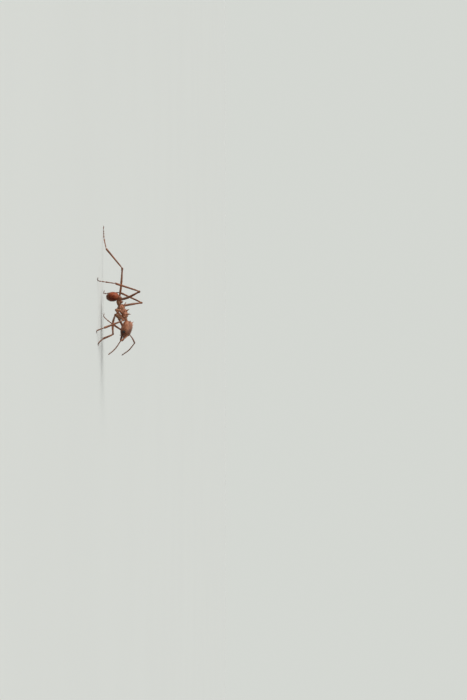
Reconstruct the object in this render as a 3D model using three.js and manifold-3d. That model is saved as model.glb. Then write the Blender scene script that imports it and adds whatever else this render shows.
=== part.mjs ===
// A leafcutter ant, a large foraging worker, as a still life-size model in a walking stance.
// Millimetres, +Z up, the head towards +X, all six feet on one level at z = 0.
// The waist, neck, jaws, feelers and legs are separate hard shells that meet with a small clearance.
import * as THREE from "three";
import { mergeVertices } from "three/addons/utils/BufferGeometryUtils.js";
import Module from "manifold-3d";

const wasm = await Module();
wasm.setup();

// ---------------------------------------------------------------- driving sizes, in millimetres
const GAP = 0.15; // clearance between two shells that meet
const EYE_GAP = 0.1;
const DEGREE = Math.PI / 180;
const SIDES = [
  { name: "right", y: -1 },
  { name: "left", y: 1 },
];

const THORAX = { pitch: 18 * DEGREE, joint: [-0.65, 0, 4.0] };
const HEAD = {
  half: 1.5,
  width: 1.64,
  top: 1.0,
  bottom: 1.04,
  lobe: 0.58,
  notch: 0.12,
  centre: [4.35, 0, 5.06],
};
const HEAD_TURN = { pitch: 16 * DEGREE, roll: 12 * DEGREE }; // the jaws dip, and the head leans to its right
const GASTER = { length: 2.6, width: 1.15, depth: 0.94, lean: 4 * DEGREE, top: [-2.34, 0, 3.62] };
const EYE = { at: [0.48, 1.45, 0.02], radii: [0.27, 0.17, 0.24] };
const MANDIBLE = { hinge: [1.08, 0.84, -0.2], reach: 1.36, thick: 0.5, open: 15 * DEGREE, teeth: 6 };
const ANTENNA = { socket: [0.78, 0.42, 0.8], scape: 2.75, flagellum: 3.7, radius: 0.25, beads: 10 };
// Where each feeler's stalk and lash point, in the head's frame: the right one feels down beside the jaws.
const ANTENNA_AIM = {
  right: { scape: [0.6, -0.76, -0.22], flagellum: [0.9, -0.1, -0.42] },
  left: { scape: [0.62, 1.0, 0.42], flagellum: [0.95, 0.14, -0.62] },
};

// Each pair of legs: lengths and half thicknesses of its shells, the same on both sides.
const LEGS = {
  front: { coxa: 1.95, femur: 4.5, tibia: 3.5, tarsus: 4.1, girth: 0.42, hip: [2.88, 0.48, -0.49] },
  middle: { coxa: 1.25, femur: 5.2, tibia: 5.2, tarsus: 5.1, girth: 0.34, hip: [1.1, 0.44, -0.53] },
  hind: { coxa: 1.4, femur: 6.8, tibia: 5.2, tarsus: 5.3, girth: 0.34, hip: [0.26, 0.36, -0.36] },
};
const FEMUR_RADIUS = 0.29;
const TIBIA_RADIUS = 0.26;
const TARSUS_RADIUS = 0.25;
const JOINT_RADIUS = 0.26; // balls at the hips and knees
const SOLE = 0.09; // how far a toe's middle line lies above the floor where it is cut flat

// A walking stance: where each leg's hip and knee are aimed, its toe on the floor, how the middle of its
// thigh is bowed, and how far its ankle is swung round the line from knee to foot, in degrees from
// hanging straight down.
const STANCE = {
  front_right: {
    hip: [1.2, -1.2, 2.75],
    knee: [5.25, -3.1, 2.6],
    toe: [7.3, -9.9],
    bow: [0, 0, -0.25],
    swing: 0,
  },
  middle_right: {
    hip: [0.38, -1.35, 2.92],
    knee: [2.58, -5.7, 4.76],
    toe: [4.9, -14.1],
    bow: [0, 0, 0.12],
    swing: 25,
  },
  hind_right: {
    hip: [-1.6, -1, 3.28],
    knee: [-3.14, -5.6, 8],
    toe: [-5.45, -11.2],
    bow: [0.25, -0.45, 0.1],
    swing: -46,
  },
  front_left: {
    hip: [1.25, 1.0, 3.1],
    knee: [4.75, 2.9, 4.6],
    toe: [1.15, 7.5],
    bow: [0, 0, 0.12],
    swing: 26,
  },
  middle_left: {
    hip: [-0.3, 1.35, 3.3],
    knee: [-1.1, 3.3, 7.97],
    toe: [-3.5, 8.0],
    bow: [-0.1, 0, 0.1],
    swing: 75,
  },
  hind_left: {
    hip: [-1.6, 0.95, 3.55],
    knee: [-8.2, 2.9, 4.1],
    toe: [-16.5, 6.3],
    bow: [0, 0, 0.12],
    swing: 34,
  },
};
const LYING = 0.17; // the share of a tarsus that lies flat on the floor

// ---------------------------------------------------------------- materials
const shell = (name, color, roughness) =>
  new THREE.MeshStandardMaterial({ name, color, roughness, metalness: 0 });
const MATERIALS = {
  body: shell("cuticle_body", 0x8f5a44, 0.55),
  gaster: shell("cuticle_gaster", 0x6a3322, 0.42),
  leg: shell("cuticle_leg", 0x7d4a36, 0.5),
  jaw: shell("mandible", 0x4a2116, 0.35),
  eye: shell("eye", 0x120c0b, 0.2),
};

// ---------------------------------------------------------------- shape helpers
const point = (x, y, z) => new THREE.Vector3(x, y, z);
const clamp = THREE.MathUtils.clamp;
const smooth = THREE.MathUtils.smoothstep;

// Moves every vertex of a geometry by a function of its position.
function remap(geometry, move) {
  const at = geometry.getAttribute("position");
  for (let i = 0; i < at.count; i++) {
    const p = move(point(at.getX(i), at.getY(i), at.getZ(i)));
    at.setXYZ(i, p.x, p.y, p.z);
  }
  return geometry;
}

// Keeps only the positions, joins the vertices that coincide, and turns the faces to point out.
function welded(geometry) {
  const bare = geometry.clone();
  bare.deleteAttribute("normal");
  bare.deleteAttribute("uv");
  const closed = mergeVertices(bare, 1e-4);
  const at = closed.getAttribute("position");
  const faces = closed.index.array;
  const corner = (i) => point(at.getX(faces[i]), at.getY(faces[i]), at.getZ(faces[i]));
  let volume = 0;
  for (let i = 0; i < faces.length; i += 3) volume += corner(i).dot(corner(i + 1).cross(corner(i + 2)));
  if (volume > 0) return closed;
  for (let i = 0; i < faces.length; i += 3) [faces[i + 1], faces[i + 2]] = [faces[i + 2], faces[i + 1]];
  return closed;
}

// A geometry with its surface moved out by a distance.
function swollen(geometry, distance) {
  const grown = welded(geometry);
  grown.computeVertexNormals();
  const at = grown.getAttribute("position");
  const normal = grown.getAttribute("normal");
  for (let i = 0; i < at.count; i++) {
    const p = point(at.getX(i), at.getY(i), at.getZ(i));
    p.addScaledVector(point(normal.getX(i), normal.getY(i), normal.getZ(i)), distance);
    at.setXYZ(i, p.x, p.y, p.z);
  }
  return grown;
}

// A closed geometry as a solid.
function solid(geometry) {
  const mesh = welded(geometry);
  const vertProperties = mesh.attributes.position.array;
  const triVerts = new Uint32Array(mesh.index.array);
  return new wasm.Manifold(new wasm.Mesh({ numProp: 3, vertProperties, triVerts }));
}

// The largest closed surface of a solid.
const largest = (whole) => whole.decompose().reduce((a, b) => (b.volume() > a.volume() ? b : a));

// One solid from several geometries that overlap, each moved out by a distance if one is given.
function fused(geometries, distance = 0) {
  const solids = geometries.map((g) => solid(distance ? swollen(g, distance) : g));
  return solids.reduce((a, b) => a.add(b));
}

function meshOf(name, whole, material) {
  const { vertProperties, triVerts } = largest(whole).getMesh();
  const geometry = new THREE.BufferGeometry();
  geometry.setAttribute("position", new THREE.BufferAttribute(vertProperties, 3));
  geometry.setIndex(new THREE.BufferAttribute(triVerts, 1));
  geometry.computeVertexNormals();
  const mesh = new THREE.Mesh(geometry, material);
  mesh.name = name;
  return mesh;
}

// An egg along X. half(s) gives half the width, the height above and the depth below at s, from -1 to 1.
function egg(centre, halfLength, half, { sides = 20, rings = 12, warp = (p) => p } = {}) {
  const arc = Array.from({ length: rings + 1 }, (_, i) => {
    const angle = (Math.PI * i) / rings;
    return new THREE.Vector2(i % rings ? Math.sin(angle) : 0, -Math.cos(angle));
  });
  return remap(new THREE.LatheGeometry(arc, sides), (v) => {
    const s = clamp(v.y, -1, 1);
    const around = Math.atan2(v.z, v.x);
    const [width, top, bottom] = Math.abs(s) > 0.9999 ? [0, 0, 0] : half(s);
    const up = Math.sin(around);
    const p = point(s * halfLength, width * Math.cos(around), up * (up > 0 ? top : bottom));
    return warp(p, s).add(point(...centre));
  });
}

// A plain ellipsoid.
const ellipsoid = (centre, [rx, ry, rz], detail = {}) =>
  egg(centre, rx, (s) => {
    const r = Math.sqrt(1 - s * s);
    return [ry * r, rz * r, rz * r];
  }, detail);

// A limb with round ends: a lathe with a radius at each share of its length, laid along a smooth line.
function limb(points, radii, { sides = 8, pitch = 0.9 } = {}) {
  const line = new THREE.CatmullRomCurve3(points, false, "centripetal");
  const length = line.getLength();
  const radiusAt = (t) => {
    const next = Math.max(1, radii.findIndex(([share]) => share >= t));
    const [t0, r0] = radii[next - 1];
    const [t1, r1] = radii[next];
    return THREE.MathUtils.mapLinear(t, t0, t1, r0, r1);
  };
  const firstRadius = radii[0][1];
  const lastRadius = radii[radii.length - 1][1];
  const capStart = firstRadius / length;
  const capEnd = 1 - lastRadius / length;
  const stations = radii.map(([t]) => t).concat(capStart, capEnd);
  const even = Math.ceil(length / pitch);
  for (let i = 1; i < even; i++) stations.push(i / even);
  stations.sort((a, b) => a - b);
  const nearest = 0.12 / length;
  const kept = [];
  for (const t of stations) {
    if (t < capStart || t > capEnd) continue;
    if (!kept.length || t - kept[kept.length - 1] > nearest) kept.push(t);
  }
  const profile = [new THREE.Vector2(0, 0)];
  const bulge = Math.PI / 4;
  profile.push(new THREE.Vector2(firstRadius * Math.sin(bulge), capStart * (1 - Math.cos(bulge))));
  for (const t of kept) profile.push(new THREE.Vector2(radiusAt(t), t));
  profile.push(new THREE.Vector2(lastRadius * Math.sin(bulge), 1 - (1 - capEnd) * (1 - Math.cos(bulge))));
  profile.push(new THREE.Vector2(0, 1));
  const frameCount = 60;
  const frames = line.computeFrenetFrames(frameCount);
  return remap(new THREE.LatheGeometry(profile, sides), (v) => {
    const t = clamp(v.y, 0, 1);
    const k = Math.round(t * frameCount);
    const centre = line.getPointAt(t);
    return centre.addScaledVector(frames.normals[k], v.x).addScaledVector(frames.binormals[k], v.z);
  });
}

// A pointed spine, a little bowed towards +Z.
function spine(base, tip, radius) {
  const from = point(...base);
  const to = point(...tip);
  const middle = from.clone().lerp(to, 0.55).add(point(0, 0, 0.06 * from.distanceTo(to)));
  return limb([from, middle, to], [[0, radius], [0.45, radius * 0.7], [1, 0.04]], { sides: 8, pitch: 0.35 });
}

const mirrored = ([x, y, z], side) => [x, y * side, z];
const towards = (from, aim, length) => from.clone().add(aim.clone().sub(from).setLength(length));

// ---------------------------------------------------------------- thorax, in its own frame: +X to the neck
function thoraxShapes() {
  const shapes = [
    ellipsoid([0.52, 0, 0.06], [0.64, 0.55, 0.62]), // propodeum
    ellipsoid([1.32, 0, -0.04], [0.82, 0.62, 0.66]), // middle segment
    ellipsoid([1.58, 0, 0.38], [0.62, 0.54, 0.46]), // mesonotum
    ellipsoid([2.15, 0, 0.1], [0.72, 0.85, 0.7]), // pronotum
  ];
  for (const { y } of SIDES) {
    shapes.push(spine([2.15, 0.55 * y, 0.5], [2.42, 1.5 * y, 1.25], 0.27)); // pronotal spine
    shapes.push(spine([1.5, 0.25 * y, 0.6], [1.32, 0.52 * y, 1.38], 0.25)); // mesonotal spine
    shapes.push(spine([0.5, 0.24 * y, 0.2], [-0.28, 0.62 * y, 1.2], 0.25)); // propodeal spine
    shapes.push(spine([2.4, 0.55 * y, -0.05], [2.62, 1.14 * y, -0.32], 0.25)); // lower pronotal tooth
  }
  return shapes;
}

const neckShape = () =>
  limb([point(2.3, 0, -0.05), point(3.95, 0, 0.02)], [[0, 0.5], [0.5, 0.36], [1, 0.27]]);

// ---------------------------------------------------------------- head, in its own frame: +X to the jaws
function headCapsule() {
  const half = (s) => {
    const blunt = Math.sqrt(1 - Math.abs(s) ** (s < 0 ? 2.6 : 3.6));
    const width = HEAD.width * (1 - 0.17 * s - 0.1 * s * s);
    const top = HEAD.top * (1 - 0.18 * s);
    const bottom = HEAD.bottom * (1 - 0.05 * s);
    return [width * blunt, top * blunt, bottom * blunt];
  };
  const warp = (p, s) => {
    const rear = smooth(-s, 0.25, 0.97);
    const middle = Math.exp(-((p.y / 0.58) ** 2));
    p.x += rear * (HEAD.notch * middle - HEAD.lobe * (1 - middle));
    return p;
  };
  return egg([0, 0, 0], HEAD.half, half, { sides: 28, rings: 18, warp });
}

function headShapes() {
  const shapes = [
    headCapsule(),
    ellipsoid([1.04, 0, 0.22], [0.46, 0.66, 0.4]), // clypeus
    ellipsoid([0.86, 0, -0.5], [0.58, 0.44, 0.46]), // mouthparts
  ];
  for (const { y } of SIDES) {
    shapes.push(ellipsoid([0.62, 0.3 * y, 0.64], [0.5, 0.26, 0.36], { sides: 12, rings: 8 })); // frontal lobe
    shapes.push(spine([-1.3, 0.85 * y, 0.28], [-2.1, 1.3 * y, 0.66], 0.26)); // occipital spine
    shapes.push(spine([-1.15, 0.95 * y, -0.25], [-1.75, 1.45 * y, -0.35], 0.25)); // lower occipital tooth
  }
  return shapes;
}

const eyeShape = (y, grow = 0) =>
  ellipsoid(mirrored(EYE.at, y), EYE.radii.map((r) => r + grow), { sides: 14, rings: 8 });

// A jaw: a curved triangular blade with a toothed inner edge, thinning from its hinge to its teeth.
function mandibleShape(y) {
  const { reach, thick, teeth } = MANDIBLE;
  const outline = new THREE.Shape();
  outline.moveTo(-0.3, -0.22);
  outline.bezierCurveTo(0.25 * reach, -0.42, 0.9 * reach, -0.2, reach, 0.52);
  const [apex, heel] = [new THREE.Vector2(reach, 0.52), new THREE.Vector2(0.42 * reach, 0.66)];
  for (let i = 1; i <= teeth; i++) {
    const valley = apex.clone().lerp(heel, (i - 0.45) / teeth);
    const tooth = apex.clone().lerp(heel, i / teeth);
    outline.lineTo(valley.x, valley.y - 0.13);
    outline.lineTo(tooth.x, tooth.y);
  }
  outline.quadraticCurveTo(0.18 * reach, 0.3, -0.3, 0.3);
  const extrusion = { depth: thick, bevelEnabled: false, curveSegments: 7, steps: 1 };
  const blade = new THREE.ExtrudeGeometry(outline, extrusion);
  blade.translate(0, 0, -thick / 2);
  const [hx, hy, hz] = mirrored(MANDIBLE.hinge, y);
  return remap(blade, (p) => {
    const share = clamp((p.x + 0.3) / (reach + 0.3), 0, 1);
    const inward = smooth(p.y, 0.1, 0.7);
    const z = p.z * (1 - 0.35 * share - 0.35 * inward) - 0.16 * share * share;
    const turned = point(p.x, -p.y, 0).applyAxisAngle(point(0, 0, 1), MANDIBLE.open);
    return point(hx + turned.x, hy + turned.y * y, hz + z);
  });
}

function antennaPoints({ name, y }) {
  const socket = point(...mirrored(ANTENNA.socket, y));
  const elbow = towards(socket, socket.clone().add(point(...ANTENNA_AIM[name].scape)), ANTENNA.scape);
  const tip = towards(elbow, elbow.clone().add(point(...ANTENNA_AIM[name].flagellum)), ANTENNA.flagellum);
  return { socket, elbow, tip };
}

function scapeShape(side) {
  const { socket, elbow } = antennaPoints(side);
  const along = elbow.clone().sub(socket).normalize();
  const bow = socket.clone().lerp(elbow, 0.4).add(point(-0.02, 0, 0.16));
  const end = elbow.clone().addScaledVector(along, ANTENNA.radius);
  return limb([socket, bow, end], [[0, 0.22], [0.12, 0.23], [0.9, 0.26], [1, 0.25]]);
}

function flagellumShape(side) {
  const { elbow, tip } = antennaPoints(side);
  const bow = elbow.clone().lerp(tip, 0.5).add(point(0.12, 0, 0.2));
  const radii = [];
  for (let i = 0; i <= ANTENNA.beads; i++) {
    const t = i / ANTENNA.beads;
    const swell = ANTENNA.radius * (1 - 0.12 * t);
    if (i) radii.push([t - 0.035, swell]);
    radii.push([t, i === ANTENNA.beads ? 0.18 : swell * 0.84]);
  }
  return limb([elbow, bow, tip], radii);
}

// ---------------------------------------------------------------- waist and gaster, in the ant's frame
const petioleShapes = () => [
  limb(
    [point(-0.3, 0, 4.0), point(-0.95, 0, 3.66), point(-1.75, 0, 3.62)],
    [[0, 0.3], [0.5, 0.33], [1, 0.3]],
  ),
  ellipsoid([-1.2, 0, 3.9], [0.36, 0.4, 0.5], { sides: 14, rings: 8 }),
  ...SIDES.map(({ y }) => spine([-1.2, 0.2 * y, 4.08], [-1.36, 0.46 * y, 4.54], 0.2)),
];

const postpetioleShapes = () => [
  ellipsoid([-2.0, 0, 3.8], [0.38, 0.64, 0.42], { sides: 16, rings: 8 }),
  ...SIDES.map(({ y }) => ellipsoid([-2.04, 0.42 * y, 3.88], [0.26, 0.28, 0.28], { sides: 10, rings: 6 })),
];

// The gaster in its own frame: +X from the waist down to the tip, +Z towards the legs. Four rings of
// shell, stepped.
function gasterShape() {
  const edges = [0.6, 0.78, 0.9];
  const half = (s) => {
    const round = Math.sqrt(1 - Math.abs(s) ** (s < 0 ? 2.1 : 2.4));
    const step = edges.reduce((sum, edge) => sum - (s > edge ? 0.045 : 0), 1);
    return [GASTER.width * round * step, GASTER.depth * round * step, GASTER.depth * 1.02 * round * step];
  };
  return egg([GASTER.length / 2, 0, 0], GASTER.length / 2, half, { sides: 24, rings: 22 });
}

// ---------------------------------------------------------------- legs, in the ant's frame
function legPoints(pair, side) {
  const size = LEGS[pair];
  const aim = STANCE[`${pair}_${side.name}`];
  const root = point(...mirrored(size.hip, side.y)).applyMatrix4(thorax.matrix);
  const hip = towards(root, point(...aim.hip), size.coxa);
  const knee = towards(hip, point(...aim.knee), size.femur);
  const toe = point(aim.toe[0], aim.toe[1], SOLE);
  const heading = toe.clone().sub(knee).setZ(0).normalize();
  const touch = toe.clone().addScaledVector(heading, -LYING * size.tarsus).setZ(SOLE + 0.05);
  const ankle = bend(knee, touch, size.tibia, (1 - LYING) * size.tarsus, aim.swing);
  return { root, hip, knee, ankle, touch, toe, heading, bow: aim.bow };
}

// Where two straight pieces between two points meet, sagging towards the floor and then swung to one side.
function bend(from, to, first, second, swing) {
  const span = to.clone().sub(from);
  const distance = span.length();
  if (distance > first + second) throw new Error(`a foot is ${distance - first - second} mm out of reach`);
  const along = (first ** 2 - second ** 2 + distance ** 2) / (2 * distance);
  const axis = span.normalize();
  const down = point(0, 0, -1).addScaledVector(axis, axis.z).normalize();
  const away = down.applyAxisAngle(axis, swing * DEGREE);
  return from.clone().addScaledVector(axis, along).addScaledVector(away, Math.sqrt(first ** 2 - along ** 2));
}

function coxaShape({ root, hip }, size) {
  const along = hip.clone().sub(root).normalize();
  const start = root.clone().addScaledVector(along, -0.3);
  const end = hip.clone().addScaledVector(along, JOINT_RADIUS);
  return limb([start, end], [[0, size.girth * 0.8], [0.35, size.girth], [0.75, 0.32], [1, JOINT_RADIUS]]);
}

function femurShape({ hip, knee, bow }) {
  const along = knee.clone().sub(hip).normalize();
  const end = knee.clone().addScaledVector(along, JOINT_RADIUS);
  const middle = hip.clone().lerp(end, 0.45).add(point(...bow));
  const radii = [[0, 0.25], [0.1, 0.24], [0.4, FEMUR_RADIUS], [0.8, 0.26], [1, JOINT_RADIUS]];
  return limb([hip, middle, end], radii);
}

function tibiaShape({ knee, ankle }) {
  const along = ankle.clone().sub(knee).normalize();
  const end = ankle.clone().addScaledVector(along, TARSUS_RADIUS);
  return limb([knee, end], [[0, 0.24], [0.2, 0.25], [0.8, TIBIA_RADIUS], [1, TARSUS_RADIUS]]);
}

// The tarsus comes down to the floor in a bow, and its last share lies flat.
function tarsusShapes({ ankle, touch, toe, heading }) {
  const bow = ankle.clone().lerp(touch, 0.6).add(point(0, 0, -0.12));
  const joints = [0.46, 0.62, 0.75, 0.86];
  const radii = [[0, 0.22], [0.12, 0.23]];
  joints.forEach((t, i) => {
    const r = TARSUS_RADIUS - 0.02 * i;
    radii.push([t - 0.03, r], [t, r * 0.78]);
  });
  radii.push([1, 0.16]);
  const sideways = point(-heading.y, heading.x, 0);
  const claws = SIDES.map(({ y }) => {
    const root = toe.clone().addScaledVector(heading, -0.2).setZ(0.14);
    const arch = toe.clone().addScaledVector(heading, 0.12).addScaledVector(sideways, 0.16 * y).setZ(0.2);
    const tip = toe.clone().addScaledVector(heading, 0.36).addScaledVector(sideways, 0.24 * y).setZ(0.04);
    return limb([root, arch, tip], [[0, 0.1], [1, 0.04]], { sides: 6, pitch: 0.25 });
  });
  return [limb([ankle, bow, touch, toe], radii), ...claws];
}

// ---------------------------------------------------------------- assembly
const thorax = new THREE.Group();
thorax.position.set(...THORAX.joint);
thorax.rotation.y = -THORAX.pitch;
thorax.updateMatrix();

const head = new THREE.Group();
head.position.set(...HEAD.centre);
head.rotation.set(HEAD_TURN.roll, HEAD_TURN.pitch, 0, "YXZ");
head.updateMatrix();

const gaster = new THREE.Group();
gaster.position.set(...GASTER.top);
gaster.rotation.y = Math.PI / 2 - GASTER.lean;
gaster.updateMatrix();

const placed = (geometries, group) => geometries.map((g) => g.clone().applyMatrix4(group.matrix));

// Head, jaws, eyes and feelers, all in the head's frame.
const headGrown = fused(headShapes(), GAP);
const eyeSockets = SIDES.map(({ y }) => solid(eyeShape(y, EYE_GAP)));
const headSolid = eyeSockets.reduce((whole, socket) => whole.subtract(socket), fused(headShapes()));
head.add(meshOf("head", headSolid, MATERIALS.body));
for (const side of SIDES) {
  const { name, y } = side;
  head.add(meshOf(`eye_${name}`, solid(eyeShape(y)), MATERIALS.eye));
  head.add(meshOf(`mandible_${name}`, solid(mandibleShape(y)).subtract(headGrown), MATERIALS.jaw));
  head.add(meshOf(`antenna_scape_${name}`, solid(scapeShape(side)).subtract(headGrown), MATERIALS.leg));
  const lash = solid(flagellumShape(side)).subtract(fused([scapeShape(side)], GAP));
  head.add(meshOf(`antenna_flagellum_${name}`, lash, MATERIALS.leg));
}

// Thorax with its neck cut clear of the head.
const thoraxFromHead = thorax.matrix.clone().invert().multiply(head.matrix);
const headInThorax = headShapes().map((g) => g.applyMatrix4(thoraxFromHead));
const neck = solid(neckShape()).subtract(fused(headInThorax, GAP));
thorax.add(meshOf("thorax", fused(thoraxShapes()).add(neck), MATERIALS.body));
const thoraxGrown = fused(placed([...thoraxShapes(), neckShape()], thorax), GAP);

// Waist and gaster.
const waist = new THREE.Group();
const gasterGrown = fused(placed([gasterShape()], gaster), GAP);
const petioleSolid = fused(petioleShapes()).subtract(thoraxGrown).subtract(gasterGrown);
const petioleGrown = fused(petioleShapes(), GAP);
const postpetioleSolid = fused(postpetioleShapes()).subtract(petioleGrown).subtract(gasterGrown);
waist.add(meshOf("petiole", petioleSolid, MATERIALS.body));
waist.add(meshOf("postpetiole", postpetioleSolid, MATERIALS.body));
gaster.add(meshOf("gaster", solid(gasterShape()), MATERIALS.gaster));

// Six legs of four shells each, every shell cut clear of the one before it.
const legs = new THREE.Group();
const floor = solid(new THREE.BoxGeometry(60, 60, 2).translate(0, 0, -1));
const trunkGrown = thoraxGrown.add(petioleGrown);
for (const pair of Object.keys(LEGS)) {
  for (const side of SIDES) {
    const name = `leg_${pair}_${side.name}`;
    const joints = legPoints(pair, side);
    const coxa = coxaShape(joints, LEGS[pair]);
    const femur = femurShape(joints);
    const tibia = tibiaShape(joints);
    const foot = fused(tarsusShapes(joints)).subtract(floor);
    legs.add(meshOf(`${name}_coxa`, solid(coxa).subtract(trunkGrown), MATERIALS.leg));
    legs.add(meshOf(`${name}_femur`, solid(femur).subtract(fused([coxa], GAP)), MATERIALS.leg));
    legs.add(meshOf(`${name}_tibia`, solid(tibia).subtract(fused([femur], GAP)), MATERIALS.leg));
    legs.add(meshOf(`${name}_tarsus`, foot.subtract(fused([tibia], GAP)), MATERIALS.leg));
  }
}

const ant = new THREE.Group();
ant.add(thorax, head, gaster, waist, legs);
ant.updateMatrixWorld(true);
const bounds = new THREE.Box3().setFromObject(ant, true);
const middle = bounds.getCenter(new THREE.Vector3());
ant.position.set(-middle.x, -middle.y, 0); // the origin is on the floor, under the middle of the model

export default ant;
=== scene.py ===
"""A leafcutter ant, a large foraging worker, as a still life-size model in a walking stance."""

import math

import bpy
import numpy as np
from mathutils import Matrix, Vector


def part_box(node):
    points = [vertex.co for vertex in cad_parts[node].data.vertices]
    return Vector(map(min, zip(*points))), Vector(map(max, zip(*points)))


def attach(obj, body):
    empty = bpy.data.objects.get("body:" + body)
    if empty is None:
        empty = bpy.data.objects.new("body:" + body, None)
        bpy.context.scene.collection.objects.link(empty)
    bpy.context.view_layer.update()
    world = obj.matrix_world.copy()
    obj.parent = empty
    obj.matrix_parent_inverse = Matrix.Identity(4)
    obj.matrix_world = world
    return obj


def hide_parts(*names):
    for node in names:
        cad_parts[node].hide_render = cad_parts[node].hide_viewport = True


bl_info = {
    "name": "Leafcutter Ant",
    "version": (1, 0, 0),
    "blender": (4, 5, 0),
    "location": "View3D > Sidebar > Ant",
    "description": "Builds a life-size leafcutter ant over its packed solids",
    "category": "Add Mesh",
}

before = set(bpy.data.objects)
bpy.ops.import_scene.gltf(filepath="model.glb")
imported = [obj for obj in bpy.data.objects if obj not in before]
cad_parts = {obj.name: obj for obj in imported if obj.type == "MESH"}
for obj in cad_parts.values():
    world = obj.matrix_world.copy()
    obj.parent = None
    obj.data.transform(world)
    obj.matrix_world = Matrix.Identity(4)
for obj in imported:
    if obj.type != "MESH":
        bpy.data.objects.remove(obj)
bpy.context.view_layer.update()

MM = 0.001
SIDES = {"right": -1, "left": 1}

# ---- the ant's plan, in millimetres
# The plan's own frame has the floor at z = 0 and +X towards the head. What is given for one side of the
# body is given for the left one, at +Y.
THORAX_JOINT = (-0.65, 0.0, 4.0)
THORAX_PITCH = math.radians(18)
HEAD_CENTRE = (4.35, 0.0, 5.06)
HEAD_PITCH = math.radians(16)
HEAD_ROLL = math.radians(12)
HEAD = {"half": 1.5, "width": 1.64, "top": 1.0, "bottom": 1.04, "lobe": 0.58, "notch": 0.12}
EYE = {"at": (0.48, 1.45, 0.02), "radii": (0.27, 0.17, 0.24)}
JAW = {"hinge": (1.08, 0.84, -0.2), "reach": 1.36, "thick": 0.42, "open": math.radians(15), "teeth": 8}
JAW_REAR = -0.3  # where a jaw's blade starts, behind its hinge
FEELER = {"socket": (0.78, 0.42, 0.8), "scape": 2.75, "lash": 3.7}
FEELER_AIM = {  # which way each stalk and lash point, in the head's frame
    "right": ((0.6, -0.76, -0.22), (0.9, -0.1, -0.42)),
    "left": ((0.62, 1.0, 0.42), (0.95, 0.14, -0.62)),
}
LASH_PIECES = np.array((1.35, 0.95, 0.88, 0.88, 0.9, 0.92, 0.95, 0.98, 1.02, 1.75))  # their lengths' ratios
GASTER_TOP = (-2.34, 0.0, 3.62)
GASTER_LEAN = math.radians(4)
GASTER = {"length": 2.6, "width": 1.15, "depth": 0.94}
TERGITES = (0.58, 0.76, 0.885, 0.96)  # where the gaster's rings of shell end, from -1 at the waist to 1
GASTER_SIDES = 120
GASTER_END = 0.9999  # how near its end rings come to its two tips
LEGS = {
    "front": {
        "coxa": 1.95, "femur": 4.5, "tibia": 3.5, "tarsus": 4.1,
        "girth": 0.42, "root": (2.88, 0.48, -0.49),
    },
    "middle": {
        "coxa": 1.25, "femur": 5.2, "tibia": 5.2, "tarsus": 5.1,
        "girth": 0.34, "root": (1.1, 0.44, -0.53),
    },
    "hind": {
        "coxa": 1.4, "femur": 6.8, "tibia": 5.2, "tarsus": 5.3,
        "girth": 0.34, "root": (0.26, 0.36, -0.36),
    },
}
# Where each hip and knee are aimed, the toe on the floor, how the middle of the thigh is bowed, and how far
# the ankle is swung round the line from knee to foot, in degrees from hanging straight down.
STANCE = {
    "front_right": ((1.2, -1.2, 2.75), (5.25, -3.1, 2.6), (7.3, -9.9), (0, 0, -0.25), 0),
    "middle_right": ((0.38, -1.35, 2.92), (2.58, -5.7, 4.76), (4.9, -14.1), (0, 0, 0.12), 25),
    "hind_right": ((-1.6, -1.0, 3.28), (-3.14, -5.6, 8.0), (-5.45, -11.2), (0.25, -0.45, 0.1), -46),
    "front_left": ((1.25, 1.0, 3.1), (4.75, 2.9, 4.6), (1.15, 7.5), (0, 0, 0.12), 26),
    "middle_left": ((-0.3, 1.35, 3.3), (-1.1, 3.3, 7.97), (-3.5, 8.0), (-0.1, 0, 0.1), 75),
    "hind_left": ((-1.6, 0.95, 3.55), (-8.2, 2.9, 4.1), (-16.5, 6.3), (0, 0, 0.12), 34),
}
LYING = 0.17  # the share of a tarsus that lies along the floor
SOLE = 0.09  # height of a toe's middle line
HEEL = SOLE + 0.05  # height of the middle line where a tarsus starts to lie
CLEAR = 0.004  # how far everything on the feet stays above the floor
TARSUS_JOINTS = (0.46, 0.62, 0.75, 0.86)  # shares of the tarsus where its five pieces meet

# Thorns on one side: root, tip and thickness. Those of head and thorax are given in the frame of each.
HEAD_THORNS = [
    ((-1.3, 0.9, 0.28), (-2.1, 1.3, 0.66), 0.11),
    ((-1.2, 1.0, -0.25), (-1.75, 1.42, -0.35), 0.08),
    ((-1.0, 0.55, 0.66), (-1.5, 0.72, 0.98), 0.07),
]
THORAX_THORNS = [
    ((2.15, 0.6, 0.48), (2.42, 1.5, 1.25), 0.13),
    ((1.5, 0.27, 0.6), (1.32, 0.52, 1.38), 0.11),
    ((0.45, 0.24, 0.25), (-0.28, 0.62, 1.2), 0.11),
    ((2.4, 0.62, -0.05), (2.62, 1.14, -0.32), 0.09),
]
WAIST_THORNS = [
    ((-1.2, 0.2, 4.14), (-1.36, 0.44, 4.5), 0.07),
    ((-1.05, 0.25, 3.8), (-1.1, 0.48, 4.06), 0.05),
    ((-2.02, 0.42, 4.0), (-2.12, 0.6, 4.24), 0.05),
]

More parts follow.
